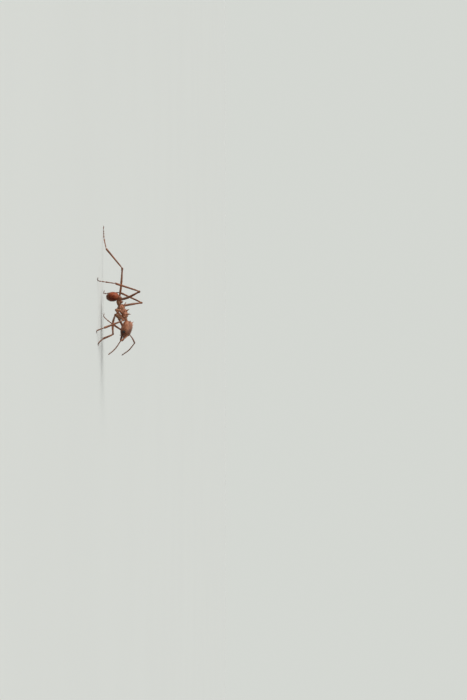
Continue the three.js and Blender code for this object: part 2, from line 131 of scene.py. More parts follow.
# Where a limb is thick and thin: knots of its length's share and its radius, next to its full radius.
STALK = [(0.4, 0.85), (0.85, 1.12), (0.97, 1.05), (1, 0.8)]
COXA = [(0, 0.5), (0.12, 0.65), (0.35, 0.88), (0.6, 1), (0.8, 0.82)]
THIGH = [(0, 0.55), (0.05, 0.7), (0.3, 1), (0.6, 0.95), (0.88, 0.74), (0.965, 0.95), (1, 0.8)]
SHIN = [
    (0, 0.8), (0.025, 0.78), (0.05, 0.6), (0.14, 0.78),
    (0.5, 0.95), (0.85, 1.08), (0.97, 1.1), (1, 0.8),
]
FOOT_FIRST = [(0, 0.7), (0.06, 0.62), (0.2, 0.85), (0.8, 0.95), (0.95, 1.2), (1, 1)]
FOOT_MIDDLE = [(0, 0.5), (0.2, 0.62), (0.7, 0.95), (0.92, 1.28), (1, 1.05)]
FOOT_LAST = [(0, 0.45), (0.15, 0.5), (0.6, 0.7), (0.85, 1.1), (1, 0.85)]
FOOT_PIECES = [  # the profile of each of a foot's five pieces, and its size next to the first one's
    (FOOT_FIRST, 1.0), (FOOT_MIDDLE, 0.92), (FOOT_MIDDLE, 0.84), (FOOT_MIDDLE, 0.76), (FOOT_LAST, 0.7),
]

# ---- coats
LEG_NAMES = [f"leg_{pair}_{side}" for pair in LEGS for side in SIDES]
COATED = ("head_shell", "jaw_left", "jaw_right", "feeler_right", "feeler_left", "trunk_shell", "gaster_shell")
# Each skin's cell of the sheet that bristles take their colours from. The legs start its second row.
SHEET_COLUMNS = 8
SHEET = {name: cell for cell, name in enumerate(COATED)}
SHEET.update({name: SHEET_COLUMNS + i for i, name in enumerate(LEG_NAMES)})
BAKE_PATCH = 0.003  # how wide a bristle lies on the sheet
COATS = {  # each coat's slot, and what it grows on: number, length and stand of the bristles
    "bristles_body": ("cuticle_body", {
        "head_shell": (620, 1.0, 0.6),
        "trunk_shell": (620, 0.95, 0.62),
        "gaster_shell": (420, 0.85, 0.4),
        "jaw_right": (70, 0.7, 0.35),
        "jaw_left": (70, 0.7, 0.35),
    }),
    "bristles_feelers": ("cuticle_leg", {f"feeler_{side}": (900, 0.42, 0.3) for side in SIDES}),
    "bristles_legs": ("cuticle_leg", {name: (950, 0.75, 0.34) for name in LEG_NAMES}),
}

# ---- finishes
SHELLS = {  # how each kind of shell is finished
    "body_shell": {
        "tone": "body", "grain": 1.0, "shine": (0.44, 0.6), "relief": 0.5,
        "coat": 0.0, "glow": 0.05, "mirror": 0.32, "dust_and_sheen": 0.24,
    },
    "gaster_shell": {
        "tone": "gaster", "grain": 0.35, "shine": (0.34, 0.48), "relief": 0.16,
        "coat": 0.0, "glow": 0.05, "mirror": 0.25, "dust_and_sheen": 0.1,
    },
    "leg_shell": {
        "tone": "leg", "grain": 0.7, "shine": (0.28, 0.44), "relief": 0.3,
        "coat": 0.0, "glow": 0.08, "mirror": 0.5, "dust_and_sheen": 0.1,
    },
    "jaw_shell": {
        "tone": "jaw", "grain": 0.4, "shine": (0.3, 0.44), "relief": 0.2,
        "coat": 0.05, "glow": 0.05, "mirror": 0.5, "dust_and_sheen": 0.1,
    },
}
# painted shade: the near-black that hollows and grooves of the shell are darkened towards
HOLLOW_SHADE_TONE = (0.012, 0.004, 0.003, 1)
# the darkest tone: the shell's own dark tips, joints and waist, and painted shade on the face, cheeks and
# undersides
SHADED_TONE = (0.034, 0.004, 0.0015, 1)
# a pale greyish tone laid on upward faces: part dusty film, part painted sheen of a bright sky
DUST_AND_SHEEN_TONE = (0.4, 0.31, 0.26, 1)
GLOSS_TINT = (1.0, 0.68, 0.52, 1.0)

# ---- stage
CAMERA_AT = (8.4, -400.0, 26.5)  # millimetres, in the plan's frame
FLOOR_REACH = 6.0  # metres


# ---- what a user would change
def length(name, default, description):
    return bpy.props.FloatProperty(
        name=name, default=default, description=description, unit="LENGTH", precision=5
    )


def colour(name, default, description):
    return bpy.props.FloatVectorProperty(
        name=name, default=default, description=description, subtype="COLOR", size=3, min=0, max=1
    )


def strength(name, default, description):
    return bpy.props.FloatProperty(name=name, default=default, description=description, min=0)


class AntSizes(bpy.types.PropertyGroup):
    femur: length("Thigh radius", 0.000245, "Half thickness of a thigh at its fullest")
    tibia: length("Shin radius", 0.00019, "Half thickness of a shin near its end")
    tarsus: length("Foot radius", 0.000115, "Half thickness of a foot's first piece")
    scape: length("Feeler stalk radius", 0.000135, "Half thickness of a feeler's long first piece")
    lash: length("Feeler lash radius", 0.000118, "Half thickness of a feeler's jointed lash")
    skin_voxel: length("Shell fineness", 0.000026, "Edge of the cells in which a shell's lumps are fused")
    jaw_voxel: length("Jaw fineness", 0.000017, "Edge of the cells that a jaw's blade is cut into")
    facet: length("Eye facet", 0.000026, "Width of one lens of an eye")
    bristle: length("Bristle length", 0.00022, "Length of a bristle on the shell")
    bristle_radius: length("Bristle radius", 0.0000065, "Half thickness of a bristle at its root")


class AntColours(bpy.types.PropertyGroup):
    body_deep: colour("Shell, deep", (0.17, 0.058, 0.031), "Dark patches of the head and thorax")
    body_bright: colour("Shell, bright", (0.44, 0.185, 0.103), "Light patches of the head and thorax")
    gaster_deep: colour("Gaster, deep", (0.09, 0.012, 0.004), "Dark parts of the gaster")
    gaster_bright: colour("Gaster, bright", (0.275, 0.058, 0.019), "Light parts of the gaster")
    leg_deep: colour("Leg, deep", (0.075, 0.021, 0.008), "Dark parts of the legs and feelers")
    leg_bright: colour("Leg, bright", (0.21, 0.068, 0.027), "Light parts of the legs and feelers")
    jaw_deep: colour("Jaw, deep", (0.014, 0.004, 0.003), "The jaws' teeth")
    jaw_bright: colour("Jaw, bright", (0.085, 0.022, 0.01), "The jaws' blades")
    joint_skin: colour("Joint skin", (0.42, 0.23, 0.12), "Soft skin in the joints")
    eye_glass: colour("Eye", (0.004, 0.003, 0.003), "Lenses of the eyes")
    bristles: colour("Bristles", (0.42, 0.2, 0.075), "Bristles all over the shell")


class AntStage(bpy.types.PropertyGroup):
    floor: colour("Floor", (0.72, 0.735, 0.7), "The plain floor")
    backdrop: colour("Backdrop", (0.662, 0.684, 0.647), "What shows past the floor's end")
    sky: colour("Room", (0.9, 0.92, 0.9), "The light room round the model")
    room_light: strength("Room light", 0.33, "Strength of the room's light")
    key_light: strength("Key light", 3.6, "Strength of the light above and behind")
    fill_light: strength("Fill light", 0.45, "Strength of the light at the camera's side")
    lens: bpy.props.FloatProperty(name="Lens", default=102.86, description="Focal length", unit="CAMERA")


# ---- vectors, places and curves
def unit(v):
    v = np.asarray(v, float)
    return v / np.maximum(np.linalg.norm(v, axis=-1, keepdims=True), 1e-12)


def place(at, pitch, roll=0.0):
    """A frame whose +X is tilted down by pitch, and which is rolled about its own +X."""
    return np.array(Matrix.Translation(at) @ Matrix.Rotation(pitch, 4, "Y") @ Matrix.Rotation(roll, 4, "X"))


def carry(matrix, points):
    return np.asarray(points, float) @ matrix[:3, :3].T + matrix[:3, 3]


def mirrored(p, side):
    return np.array((p[0], p[1] * side, p[2]), float)


def toward(start, aim, distance):
    start = np.asarray(start, float)
    return start + unit(np.asarray(aim, float) - start) * distance


def smoothstep(low, high, x):
    t = np.clip((x - low) / (high - low), 0, 1)
    return t * t * (3 - 2 * t)


def ridge(distance, width):
    """1 along a line and 0 well past a width from it."""
    return np.exp(-((distance / width) ** 2))


def bump_at(points, centre, radius):
    """1 at a centre and 0 well past a radius."""
    return ridge(np.linalg.norm(points - np.asarray(centre), axis=1), radius)


def between(a, b, t, start, stop):
    """From a to b, as t goes from start to stop."""
    share = (t - start) / (stop - start)
    return (1 - share) * a + share * b


def read_off(at, run, rows):
    """The rows of a table at some places along its run."""
    return np.column_stack([np.interp(at, run, rows[:, k]) for k in range(rows.shape[1])])


def spline(points, count=160):
    """Evenly spaced points on a smooth curve through a few given ones."""
    knots = np.array(points, float)
    knots = np.vstack([2 * knots[0] - knots[1], knots, 2 * knots[-1] - knots[-2]])
    dense = []
    for i in range(1, len(knots) - 2):
        four = knots[i - 1 : i + 3]
        at = np.concatenate([[0], np.cumsum(np.linalg.norm(np.diff(four, axis=0), axis=1) ** 0.5)])
        t = np.linspace(at[1], at[2], 60, endpoint=False)[:, None]
        lines = [between(four[k], four[k + 1], t, at[k], at[k + 1]) for k in range(3)]
        arcs = [between(lines[k], lines[k + 1], t, at[k], at[k + 2]) for k in range(2)]
        dense.append(between(*arcs, t, at[1], at[2]))
    dense = np.vstack(dense + [knots[-2:-1]])
    run = np.concatenate([[0], np.cumsum(np.linalg.norm(np.diff(dense, axis=0), axis=1))])
    return read_off(np.linspace(0, run[-1], count), run, dense)


def stretch(path, low, high, stops):
    """Points of a path between two shares of it, where stops run from 0 to 1."""
    return [path[int((len(path) - 1) * (low + (high - low) * stop))] for stop in stops]


def bezier(handles, count):
    """Points on the curve that a few handles shape."""
    t = np.linspace(0, 1, count)[:, None]
    level = [np.asarray(handle, float) for handle in handles]
    while len(level) > 1:
        level = [between(a, b, t, 0, 1) for a, b in zip(level, level[1:])]
    return level[0]


def eased(knots, t):
    """A smooth line through (share, value) knots, without overshoot between two equal ones."""
    x, y = np.array(knots, float).T
    slope = np.gradient(y, x)
    step = np.diff(y) / np.diff(x)
    for i in range(1, len(x) - 1):
        if step[i - 1] * step[i] <= 0:
            slope[i] = 0
        else:
            slope[i] = np.sign(step[i]) * min(abs(slope[i]), 3 * abs(step[i - 1]), 3 * abs(step[i]))
    i = np.clip(np.searchsorted(x, t) - 1, 0, len(x) - 2)
    h = x[i + 1] - x[i]
    u = np.clip((t - x[i]) / h, 0, 1)
    near = (1 + 2 * u) * (1 - u) ** 2 * y[i] + u * (1 - u) ** 2 * h * slope[i]
    far = u * u * (3 - 2 * u) * y[i + 1] + u * u * (u - 1) * h * slope[i + 1]
    return near + far


def scaled(knots, size):
    return [(share, value * size) for share, value in knots]


# ---- closed surfaces
class Form:
    """A closed surface in millimetres, with values at its vertices.

    shade is 1 where the shell is darkest, pale is 1 on soft joint skin, lie is the way bristles lean,
    and unwrap is the surface laid out flat in a unit square.
    """

    def __init__(self, verts, faces, shade=0.0, pale=0.0, lie=(-1, 0, 0), unwrap=(0.5, 0.5)):
        self.verts = np.asarray(verts, float)
        self.faces = faces
        count = len(self.verts)
        self.shade = np.broadcast_to(np.asarray(shade, float), (count,)).copy()
        self.pale = np.broadcast_to(np.asarray(pale, float), (count,)).copy()
        self.lie = np.broadcast_to(np.asarray(lie, float), (count, 3)).copy()
        self.unwrap = np.broadcast_to(np.asarray(unwrap, float), (count, 2)).copy()

    def moved(self, matrix):
        self.verts = carry(matrix, self.verts)
        self.lie = self.lie @ matrix[:3, :3].T
        return self

    def in_cell(self, number):
        """Puts the flat layout in one cell of the common sheet."""
        row, column = divmod(number, SHEET_COLUMNS)
        self.unwrap = (self.unwrap * 0.9 + 0.05 + (column, row)) / SHEET_COLUMNS
        return self


def joined(forms):
    faces = []
    start = 0
    for form in forms:
        faces += [[start + i for i in face] for face in form.faces]
        start += len(form.verts)
    whole = Form(np.vstack([f.verts for f in forms]), faces)
    for name in ("shade", "pale", "lie", "unwrap"):
        setattr(whole, name, np.concatenate([getattr(f, name) for f in forms]))
    return whole


def ringed(rings):
    """A closed surface's vertices and faces from its rings. The first and last ring each become a point."""
    count, sides = rings.shape[:2]
    inner = rings[1:-1].reshape(-1, 3)
    verts = np.vstack([rings[0].mean(axis=0), inner, rings[-1].mean(axis=0)])
    last = len(verts) - 1
    faces = []
    for j in range(sides):
        k = (j + 1) % sides
        faces.append([0, 1 + k, 1 + j])
        for i in range(count - 3):
            a, b = 1 + i * sides, 1 + (i + 1) * sides
            faces.append([a + j, a + k, b + k, b + j])
        end = 1 + (count - 3) * sides
        faces.append([end + j, end + k, last])
    return verts, faces


def per_ring(values, sides):
    """One value for each vertex of a ringed surface, from one for each ring."""
    return np.concatenate([values[:1], np.repeat(values[1:-1], sides, axis=0), values[-1:]])


def laid_out(shares, sides):
    """A ringed surface laid out flat: round it across, and from its first ring to its last up."""
    around = np.tile(np.arange(sides) / sides, len(shares) - 2)
    return np.column_stack([np.concatenate([[0], around, [0]]), per_ring(shares, sides)])


def tube(points, profile, sides=20, step=0.07, flat=1.0, shade=0.0, pale=0.0, ends=(1, 1)):
    """A limb along a smooth line.

    profile is knots of (share, radius), shade and pale are numbers or knots, and ends says how long each
    round end is, next to its radius.
    """
    path = spline(points)
    even = np.linspace(0, 1, len(path))
    total = np.linalg.norm(np.diff(path, axis=0), axis=1).sum()
    first, last = profile[0][1] * ends[0], profile[-1][1] * ends[1]
    dome = 1 - np.cos(np.linspace(0, math.pi / 2, 7))
    shares = np.concatenate([
        dome * first / total,
        np.arange(first, total - last, step)[1:] / total,
        1 - dome * last / total,
    ])
    shares = np.unique(np.round(shares, 6))
    radius = eased(profile, shares)
    for reach in (shares * total / first, (1 - shares) * total / last):
        radius *= np.sqrt(1 - (1 - np.clip(reach, 0, 1)) ** 2)
    centres = read_off(shares, even, path)
    along = unit(read_off(shares, even, unit(np.gradient(path, axis=0))))
    aside = (0, 0, 1) if abs(along[0][2]) < 0.9 else (1, 0, 0)
    across = unit(np.cross(along[0], aside))
    turn = np.linspace(0, 2 * math.pi, sides, endpoint=False)[:, None]
    rings = []
    for centre, forward, r in zip(centres, along, radius):
        across = unit(across - forward * across.dot(forward))
        third = np.cross(forward, across)
        rings.append(centre + r * (np.cos(turn) * across + flat * np.sin(turn) * third))
    values = [per_ring(eased(v, shares), sides) if isinstance(v, list) else v for v in (shade, pale)]
    layout = laid_out(shares, sides)
    return Form(*ringed(np.array(rings)), *values, lie=per_ring(along, sides), unwrap=layout)


def egg(centre, half_length, half, sides=96, rings=72, warp=None):
    """An egg along X. half(s) gives half the width, the height and the depth at s, from -1 to 1."""
    s = -np.cos(np.linspace(0, math.pi, rings + 1))
    s[0], s[-1] = -0.99995, 0.99995  # so that half(s) is never taken at its very ends
    width, top, bottom = [np.asarray(v, float)[:, None] for v in half(s)]
    turn = np.linspace(0, 2 * math.pi, sides, endpoint=False)[None, :]
    height = np.where(np.sin(turn) > 0, top, bottom) * np.sin(turn)
    grid = np.broadcast_arrays((s * half_length)[:, None], width * np.cos(turn), height)
    verts, faces = ringed(np.stack(grid, axis=2))
    if warp is not None:
        verts = warp(verts, per_ring(s, sides))
    return Form(verts + np.asarray(centre), faces, unwrap=laid_out((s + 1) / 2, sides))


def ellipsoid(centre, radii, sides=48, rings=36):
    def half(s):
        r = np.sqrt(1 - s * s)
        return radii[1] * r, radii[2] * r, radii[2] * r

    return egg(centre, radii[0], half, sides, rings)


def thorn(root, tip, radius):
    """A slender spine on a swollen foot, a little bowed towards +Z."""
    root, tip = np.asarray(root, float), np.asarray(tip, float)
    middle = root + (tip - root) * 0.55 + np.array((0, 0, 0.08 * np.linalg.norm(tip - root)))
    profile = scaled([(0, 1.5), (0.25, 1.15), (0.6, 0.62), (1, 0.14)], radius)
    return tube([root, middle, tip], profile, sides=16, step=0.04)


def thorns(table, side):
    return [thorn(mirrored(root, side), mirrored(tip, side), radius) for root, tip, radius in table]


# ---- meshes
def read(items, key, width=3, kind=float):
    """One property of all of a mesh's vertices, edges or corners, as rows."""
    flat = np.zeros(len(items) * width, kind)
    items.foreach_get(key, flat)
    return flat.reshape(-1, width)


def coordinates(mesh):
    return read(mesh.vertices, "co")


def normals(mesh):
    return read(mesh.vertex_normals, "vector")


def edge_pairs(mesh):
    return read(mesh.edges, "vertices", 2, np.int64)


def spread_out(values, pairs, count, times):
    """Averages a value over neighbouring vertices, some times over."""
    ends = np.concatenate([pairs[:, 0], pairs[:, 1]])
    others = np.concatenate([pairs[:, 1], pairs[:, 0]])
    near = np.maximum(np.bincount(ends, minlength=count), 1)
    for _ in range(times):
        values = 0.5 * values + 0.5 * np.bincount(ends, weights=values[others], minlength=count) / near
    return values


def hollows(mesh):
    """0.5 on flat shell, up to 1 in a groove and down to 0 on an edge."""
    pairs, at, out = edge_pairs(mesh), coordinates(mesh) / MM, normals(mesh)
    gap = at[pairs[:, 1]] - at[pairs[:, 0]]
    span = np.maximum((gap * gap).sum(axis=1), 1e-9)
    count = len(at)
    bend = np.zeros(count)
    for end, sign in ((0, 1), (1, -1)):
        lift = (gap * out[pairs[:, end]]).sum(axis=1) / span
        bend += sign * np.bincount(pairs[:, end], weights=lift, minlength=count)
    near = np.maximum(np.bincount(pairs.ravel(), minlength=count), 1)
    return 0.5 + 0.5 * np.clip(spread_out(bend / near, pairs, count, 6) / 4.0, -1, 1)


def fused(forms, voxel, ease):
    """One closed skin over forms that overlap, with soft fillets where they meet."""
    mesh = bpy.data.meshes.new("lumps")
    whole = joined(forms)
    mesh.from_pydata(whole.verts, [], whole.faces)
    lumps = bpy.data.objects.new("lumps", mesh)
    bpy.context.scene.collection.objects.link(lumps)
    melt = lumps.modifiers.new("melt", "REMESH")
    melt.mode = "VOXEL"
    melt.voxel_size = voxel
    soften = lumps.modifiers.new("soften", "SMOOTH")
    soften.factor = 0.5
    soften.iterations = ease
    skin = bpy.data.meshes.new_from_object(lumps.evaluated_get(bpy.context.evaluated_depsgraph_get()))
    bpy.data.objects.remove(lumps)
    bpy.data.meshes.remove(mesh)
    return skin


def form_of(skin, **values):
    """A form in place of a fused skin."""
    faces = [list(p.vertices) for p in skin.polygons]
    form = Form(coordinates(skin), faces, **values)
    bpy.data.meshes.remove(skin)
    return form


def reshape(mesh, at):
    mesh.vertices.foreach_set("co", at.ravel())
    mesh.update()


def push_out(mesh, amounts):
    """Moves each vertex along its normal."""
    reshape(mesh, coordinates(mesh) + normals(mesh) * amounts[:, None])


def soften_creases(mesh, times):
    pairs, at = edge_pairs(mesh), coordinates(mesh)
    reshape(mesh, np.column_stack([spread_out(at[:, k], pairs, len(at), times) for k in range(3)]))


def unwrapped(points, centre, half):
    """Lays a lump out flat: round it across, and from end to end up."""
    local = (points - np.asarray(centre)) / half
    around = np.arctan2(local[:, 2], local[:, 1]) / (2 * math.pi) + 0.5
    return np.column_stack([around, np.clip(local[:, 0] * 0.5 + 0.5, 0, 1)])


def mesh_of(name, form):
    """A mesh in metres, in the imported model's frame, with its form's values as attributes."""
    mesh = bpy.data.meshes.new(name)
    mesh.from_pydata(carry(ROW, form.verts) * MM, [], form.faces)
    values = {
        "shade": form.shade,
        "pale": form.pale,
        "crevice": hollows(mesh),
        # faces turned up, where the shells' materials lay a dusty film with a painted sheen
        "top": smoothstep(0.1, 0.95, normals(mesh)[:, 2]),
    }
    for key, value in values.items():
        mesh.attributes.new(key, "FLOAT", "POINT").data.foreach_set("value", value)
    mesh.shade_smooth()
    mesh.update()
    return mesh


COAT = {}  # the finished forms that bristles grow from


def piece(name, form, material, nodes=()):
    """A finished piece of the ant: its mesh, material, body and the solids that it stands for."""
    thing = bpy.data.objects.new(name, mesh_of(name, form))
    bpy.context.scene.collection.objects.link(thing)
    thing.data.materials.append(finish(material))
    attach(thing, "root")
    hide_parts(*nodes)
    if name in SHEET:
        COAT[name] = form.in_cell(SHEET[name])
    return thing


# ---- places worked out from the plan
THORAX_FRAME = place(THORAX_JOINT, -THORAX_PITCH)
HEAD_FRAME = place(HEAD_CENTRE, HEAD_PITCH, HEAD_ROLL)
GASTER_FRAME = place(GASTER_TOP, math.pi / 2 - GASTER_LEAN)


def row_frame():
    """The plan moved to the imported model's frame, found from where the two eyes lie."""
    centres = [sum(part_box(f"eye_{side}"), Vector()) / 2 / MM for side in SIDES]
    planned = [carry(HEAD_FRAME, mirrored(EYE["at"], y)) for y in SIDES.values()]
    shift = np.mean(centres, axis=0) - np.mean(planned, axis=0)
    matrix = np.eye(4)
    matrix[:2, 3] = shift[:2]
    return matrix


ROW = row_frame()


def leg_points(pair, side):
    size = LEGS[pair]
    hip_aim, knee_aim, toe_at, bow, swing = STANCE[f"{pair}_{side}"]
    root = carry(THORAX_FRAME, mirrored(size["root"], SIDES[side]))
    hip = toward(root, hip_aim, size["coxa"])
    knee = toward(hip, knee_aim, size["femur"])
    toe = np.array((*toe_at, SOLE))
    heading = unit((toe - knee) * (1, 1, 0))
    touch = toe - heading * LYING * size["tarsus"]
    touch[2] = HEEL
    first, second = size["tibia"], (1 - LYING) * size["tarsus"]
    span = touch - knee
    distance = np.linalg.norm(span)
    share = (first**2 - second**2 + distance**2) / (2 * distance)
    axis = span / distance
    down = unit(np.array((0, 0, -1)) + axis * axis[2])
    turn = math.radians(swing)
    away = down * math.cos(turn) + np.cross(axis, down) * math.sin(turn)
    ankle = knee + axis * share + away * math.sqrt(first**2 - share**2)
    return {
        "root": root, "hip": hip, "knee": knee, "ankle": ankle,
        "touch": touch, "toe": toe, "heading": heading, "bow": bow,
    }


def feeler_points(side):
    socket = mirrored(FEELER["socket"], SIDES[side])
    stalk, lash = FEELER_AIM[side]
    elbow = toward(socket, socket + stalk, FEELER["scape"])
    tip = toward(elbow, elbow + lash, FEELER["lash"])
    return socket, elbow, tip


# ---- materials
class Shading:
    """A node tree with short ways to add and join nodes."""

    def __init__(self, tree):
        self.tree = tree

    def add(self, kind, inputs=(), **settings):
        node = self.tree.nodes.new(f"ShaderNode{kind}")
        for key, value in settings.items():
            setattr(node, key, value)
        for key, value in dict(inputs).items():
            if isinstance(value, bpy.types.NodeSocket):
                self.tree.links.new(value, node.inputs[key])
            else:
                node.inputs[key].default_value = value
        return node

    def math(self, operation, a, b, clamp=False):
        return self.add("Math", {0: a, 1: b}, operation=operation, use_clamp=clamp).outputs[0]

    def mix(self, factor, a, b):
        return self.add("Mix", {0: factor, 6: a, 7: b}, data_type="RGBA").outputs[2]

    def remap(self, value, low, high, to_low=0.0, to_high=1.0):
        limits = {"From Min": low, "From Max": high, "To Min": to_low, "To Max": to_high}
        return self.add("MapRange", {"Value": value, **limits}).outputs[0]

    def noise(self, scale, detail, roughness=0.5):
        where = self.add("TexCoord").outputs["Object"]
        inputs = {"Vector": where, "Scale": scale, "Detail": detail, "Roughness": roughness}
        return self.add("TexNoise", inputs).outputs["Fac"]

    def attribute(self, name):
        return self.add("Attribute", attribute_name=name).outputs["Fac"]

    def surface(self, inputs):
        shader = self.add("BsdfPrincipled", inputs)
        self.add("OutputMaterial", {"Surface": shader.outputs["BSDF"]})


def shell_group():
    """Patchy shell colour with a fine net of grain: darker in its own dark parts and with painted shade in
    hollows and shaded places, and dusty with a painted sheen on top.
    """
    group = bpy.data.node_groups.new("shell_grain", "ShaderNodeTree")
    inputs = {
        "Deep": (0.1, 0.03, 0.015, 1),
        "Bright": (0.3, 0.12, 0.06, 1),
        "Skin": (0.4, 0.25, 0.15, 1),
        "Patch Scale": 900.0,
        "Grain Scale": 26000.0,
        "Grain Depth": 0.5,
        "Shine Low": 0.3,
        "Shine High": 0.5,
        "Dust And Sheen": 0.1,
    }
    for name, value in inputs.items():
        kind = "Float" if isinstance(value, float) else "Color"
        socket = group.interface.new_socket(name, in_out="INPUT", socket_type=f"NodeSocket{kind}")
        socket.default_value = value
    for name, kind in (("Color", "Color"), ("Roughness", "Float"), ("Height", "Float")):
        group.interface.new_socket(name, in_out="OUTPUT", socket_type=f"NodeSocket{kind}")
    s = Shading(group)
    given = group.nodes.new("NodeGroupInput").outputs
    result = group.nodes.new("NodeGroupOutput").inputs
    patches = s.noise(given["Patch Scale"], 4.0, 0.6)
    flecks = s.noise(s.math("MULTIPLY", given["Patch Scale"], 7.0), 2.0)
    pits = s.noise(s.math("MULTIPLY", given["Grain Scale"], 0.35), 3.0)
    where = s.add("TexCoord").outputs["Object"]
    cells = {"Vector": where, "Scale": given["Grain Scale"], "Smoothness": 0.35}
    net = s.add("TexVoronoi", cells, feature="SMOOTH_F1").outputs["Distance"]
    shade, crevice = s.attribute("shade"), s.attribute("crevice")
    blotch = s.math("ADD", s.remap(patches, 0.4, 0.62), s.remap(flecks, 0.3, 0.7, -0.28, 0.28), clamp=True)
    tone = s.mix(blotch, given["Deep"], given["Bright"])
    # painted shade in hollows and grooves
    tone = s.mix(s.remap(crevice, 0.5, 0.85, 0.0, 0.8), tone, HOLLOW_SHADE_TONE)
    tone = s.mix(s.remap(crevice, 0.46, 0.2, 0.0, 0.25), tone, given["Bright"])
    # darker by the shade attribute: the shell's own dark parts, and painted shade
    tone = s.mix(s.math("MULTIPLY", shade, 0.9), tone, SHADED_TONE)
    # upward faces get a pale dusty film with painted sheen, none where the shade attribute is high
    dust_and_sheen_mask = s.math("MULTIPLY", s.attribute("top"), s.remap(flecks, 0.35, 0.65, 0.5, 1.0))
    dust_and_sheen_mask = s.math("MULTIPLY", dust_and_sheen_mask, s.math("SUBTRACT", 1.0, shade))
    tone = s.mix(s.math("MULTIPLY", dust_and_sheen_mask, given["Dust And Sheen"]), tone, DUST_AND_SHEEN_TONE)
    tone = s.mix(s.attribute("pale"), tone, given["Skin"])
    grain = s.math("MULTIPLY", net, given["Grain Depth"])
    height = s.math("ADD", grain, s.math("MULTIPLY", pits, 0.6))
    shine = s.remap(pits, 0.3, 0.7, given["Shine Low"], given["Shine High"])
    for name, socket in (("Color", tone), ("Roughness", shine), ("Height", height)):
        group.links.new(socket, result[name])
    return group


def rgba(values):
    return (*values, 1.0)


def new_material(name):
    material = bpy.data.materials.new(name)
    material.use_nodes = True
    material.node_tree.nodes.clear()
    return material, Shading(material.node_tree)


def shell_material(name):
    """A hard shell: patchy colour, net grain, a soft gloss and a little light let through."""
    colours = bpy.context.scene.ant_colours
    recipe = SHELLS[name]
    material, s = new_material(name)
    grain = s.tree.nodes.new("ShaderNodeGroup")
    grain.node_tree = bpy.data.node_groups.get("shell_grain") or shell_group()
    for key, value in {
        "Deep": rgba(getattr(colours, f"{recipe['tone']}_deep")),
        "Bright": rgba(getattr(colours, f"{recipe['tone']}_bright")),
        "Skin": rgba(colours.joint_skin),
        "Grain Depth": recipe["grain"],
        "Shine Low": recipe["shine"][0],
        "Shine High": recipe["shine"][1],
        "Dust And Sheen": recipe["dust_and_sheen"],
    }.items():
        grain.inputs[key].default_value = value
    height = grain.outputs["Height"]
    relief = s.add("Bump", {"Height": height, "Strength": recipe["relief"], "Distance": 0.012 * MM})
    s.surface({
        "Base Color": grain.outputs["Color"],
        "Roughness": grain.outputs["Roughness"],
        "Normal": relief.outputs["Normal"],
        "IOR": 1.48,
        "Specular IOR Level": recipe["mirror"],
        "Specular Tint": GLOSS_TINT,
        "Coat Weight": recipe["coat"],
        "Coat Roughness": 0.15,
        "Subsurface Weight": recipe["glow"],
        "Subsurface Radius": (0.0004, 0.00014, 0.00007),
        "Subsurface Scale": 1.0,
    })
    return material


def eye_material(name):
    """Black lenses with a faint brown sheen in their depth."""
    material, s = new_material(name)
    cloud = s.noise(4000.0, 2.0)
    glass = rgba(bpy.context.scene.ant_colours.eye_glass)
    s.surface({
        "Base Color": s.mix(s.remap(cloud, 0.35, 0.7), glass, (0.03, 0.012, 0.008, 1)),
        "Roughness": s.remap(cloud, 0.3, 0.7, 0.2, 0.3),
        "IOR": 1.4,
        "Coat Weight": 0.25,
        "Coat Roughness": 0.06,
    })
    return material


def bristle_material(name):
    """Golden bristles, browner at their roots."""
    gold = bpy.context.scene.ant_colours.bristles
    material, s = new_material(name)
    cloud = s.noise(3000.0, 2.0)
    tone = s.mix(s.remap(cloud, 0.3, 0.7), rgba(gold), rgba([0.7 * v for v in gold]))
    root = s.mix(0.5, tone, (0.1, 0.035, 0.015, 1))
    s.surface({
        "Base Color": s.mix(s.attribute("pale"), root, tone),
        "Roughness": s.remap(cloud, 0.3, 0.7, 0.35, 0.5),
        "IOR": 1.5,
    })
    return material


def floor_material(name):
    material, s = new_material(name)
    tone = bpy.context.scene.ant_stage.floor
    paint = s.mix(s.remap(s.noise(9.0, 2.0), 0.3, 0.7), rgba(tone), rgba([0.985 * v for v in tone]))
    s.surface({"Base Color": paint, "Roughness": 0.95, "Specular IOR Level": 0.05})
    return material


def finish(name):
    """Makes each material once."""
    makers = {"eye_glass": eye_material, "bristle": bristle_material, "floor_paint": floor_material}
    return bpy.data.materials.get(name) or makers.get(name, shell_material)(name)


# ---- the head
def capsule_half(s):
    blunt = np.sqrt(np.maximum(1 - np.abs(s) ** np.where(s < 0, 2.6, 3.6), 0))
    width = HEAD["width"] * (1 - 0.17 * s - 0.1 * s * s)
    top = HEAD["top"] * (1 - 0.18 * s)
    bottom = HEAD["bottom"] * (1 - 0.05 * s)
    return width * blunt, top * blunt, bottom * blunt


def heart(verts, s):
    """Draws the back of the head out into two lobes with a notch between them."""
    rear = smoothstep(0.25, 0.97, -s)
    middle = ridge(verts[:, 1], 0.58)
    verts[:, 0] += rear * (HEAD["notch"] * middle - HEAD["lobe"] * (1 - middle))
    return verts


def head_forms():
    forms = [
        egg((0, 0, 0), HEAD["half"], capsule_half, 128, 96, heart),
        ellipsoid((1.04, 0, 0.22), (0.44, 0.64, 0.38)),  # face plate
        ellipsoid((0.78, 0, -0.5), (0.5, 0.42, 0.42)),  # below the mouth
    ]
    for y in SIDES.values():
        forms.append(ellipsoid((0.62, 0.3 * y, 0.64), (0.52, 0.2, 0.36)))  # lobe over a feeler's socket
        forms.append(ellipsoid((0.98, 0.86 * y, -0.18), (0.3, 0.34, 0.34)))  # cheek round a jaw's hinge
        forms += thorns(HEAD_THORNS, y)
    return forms


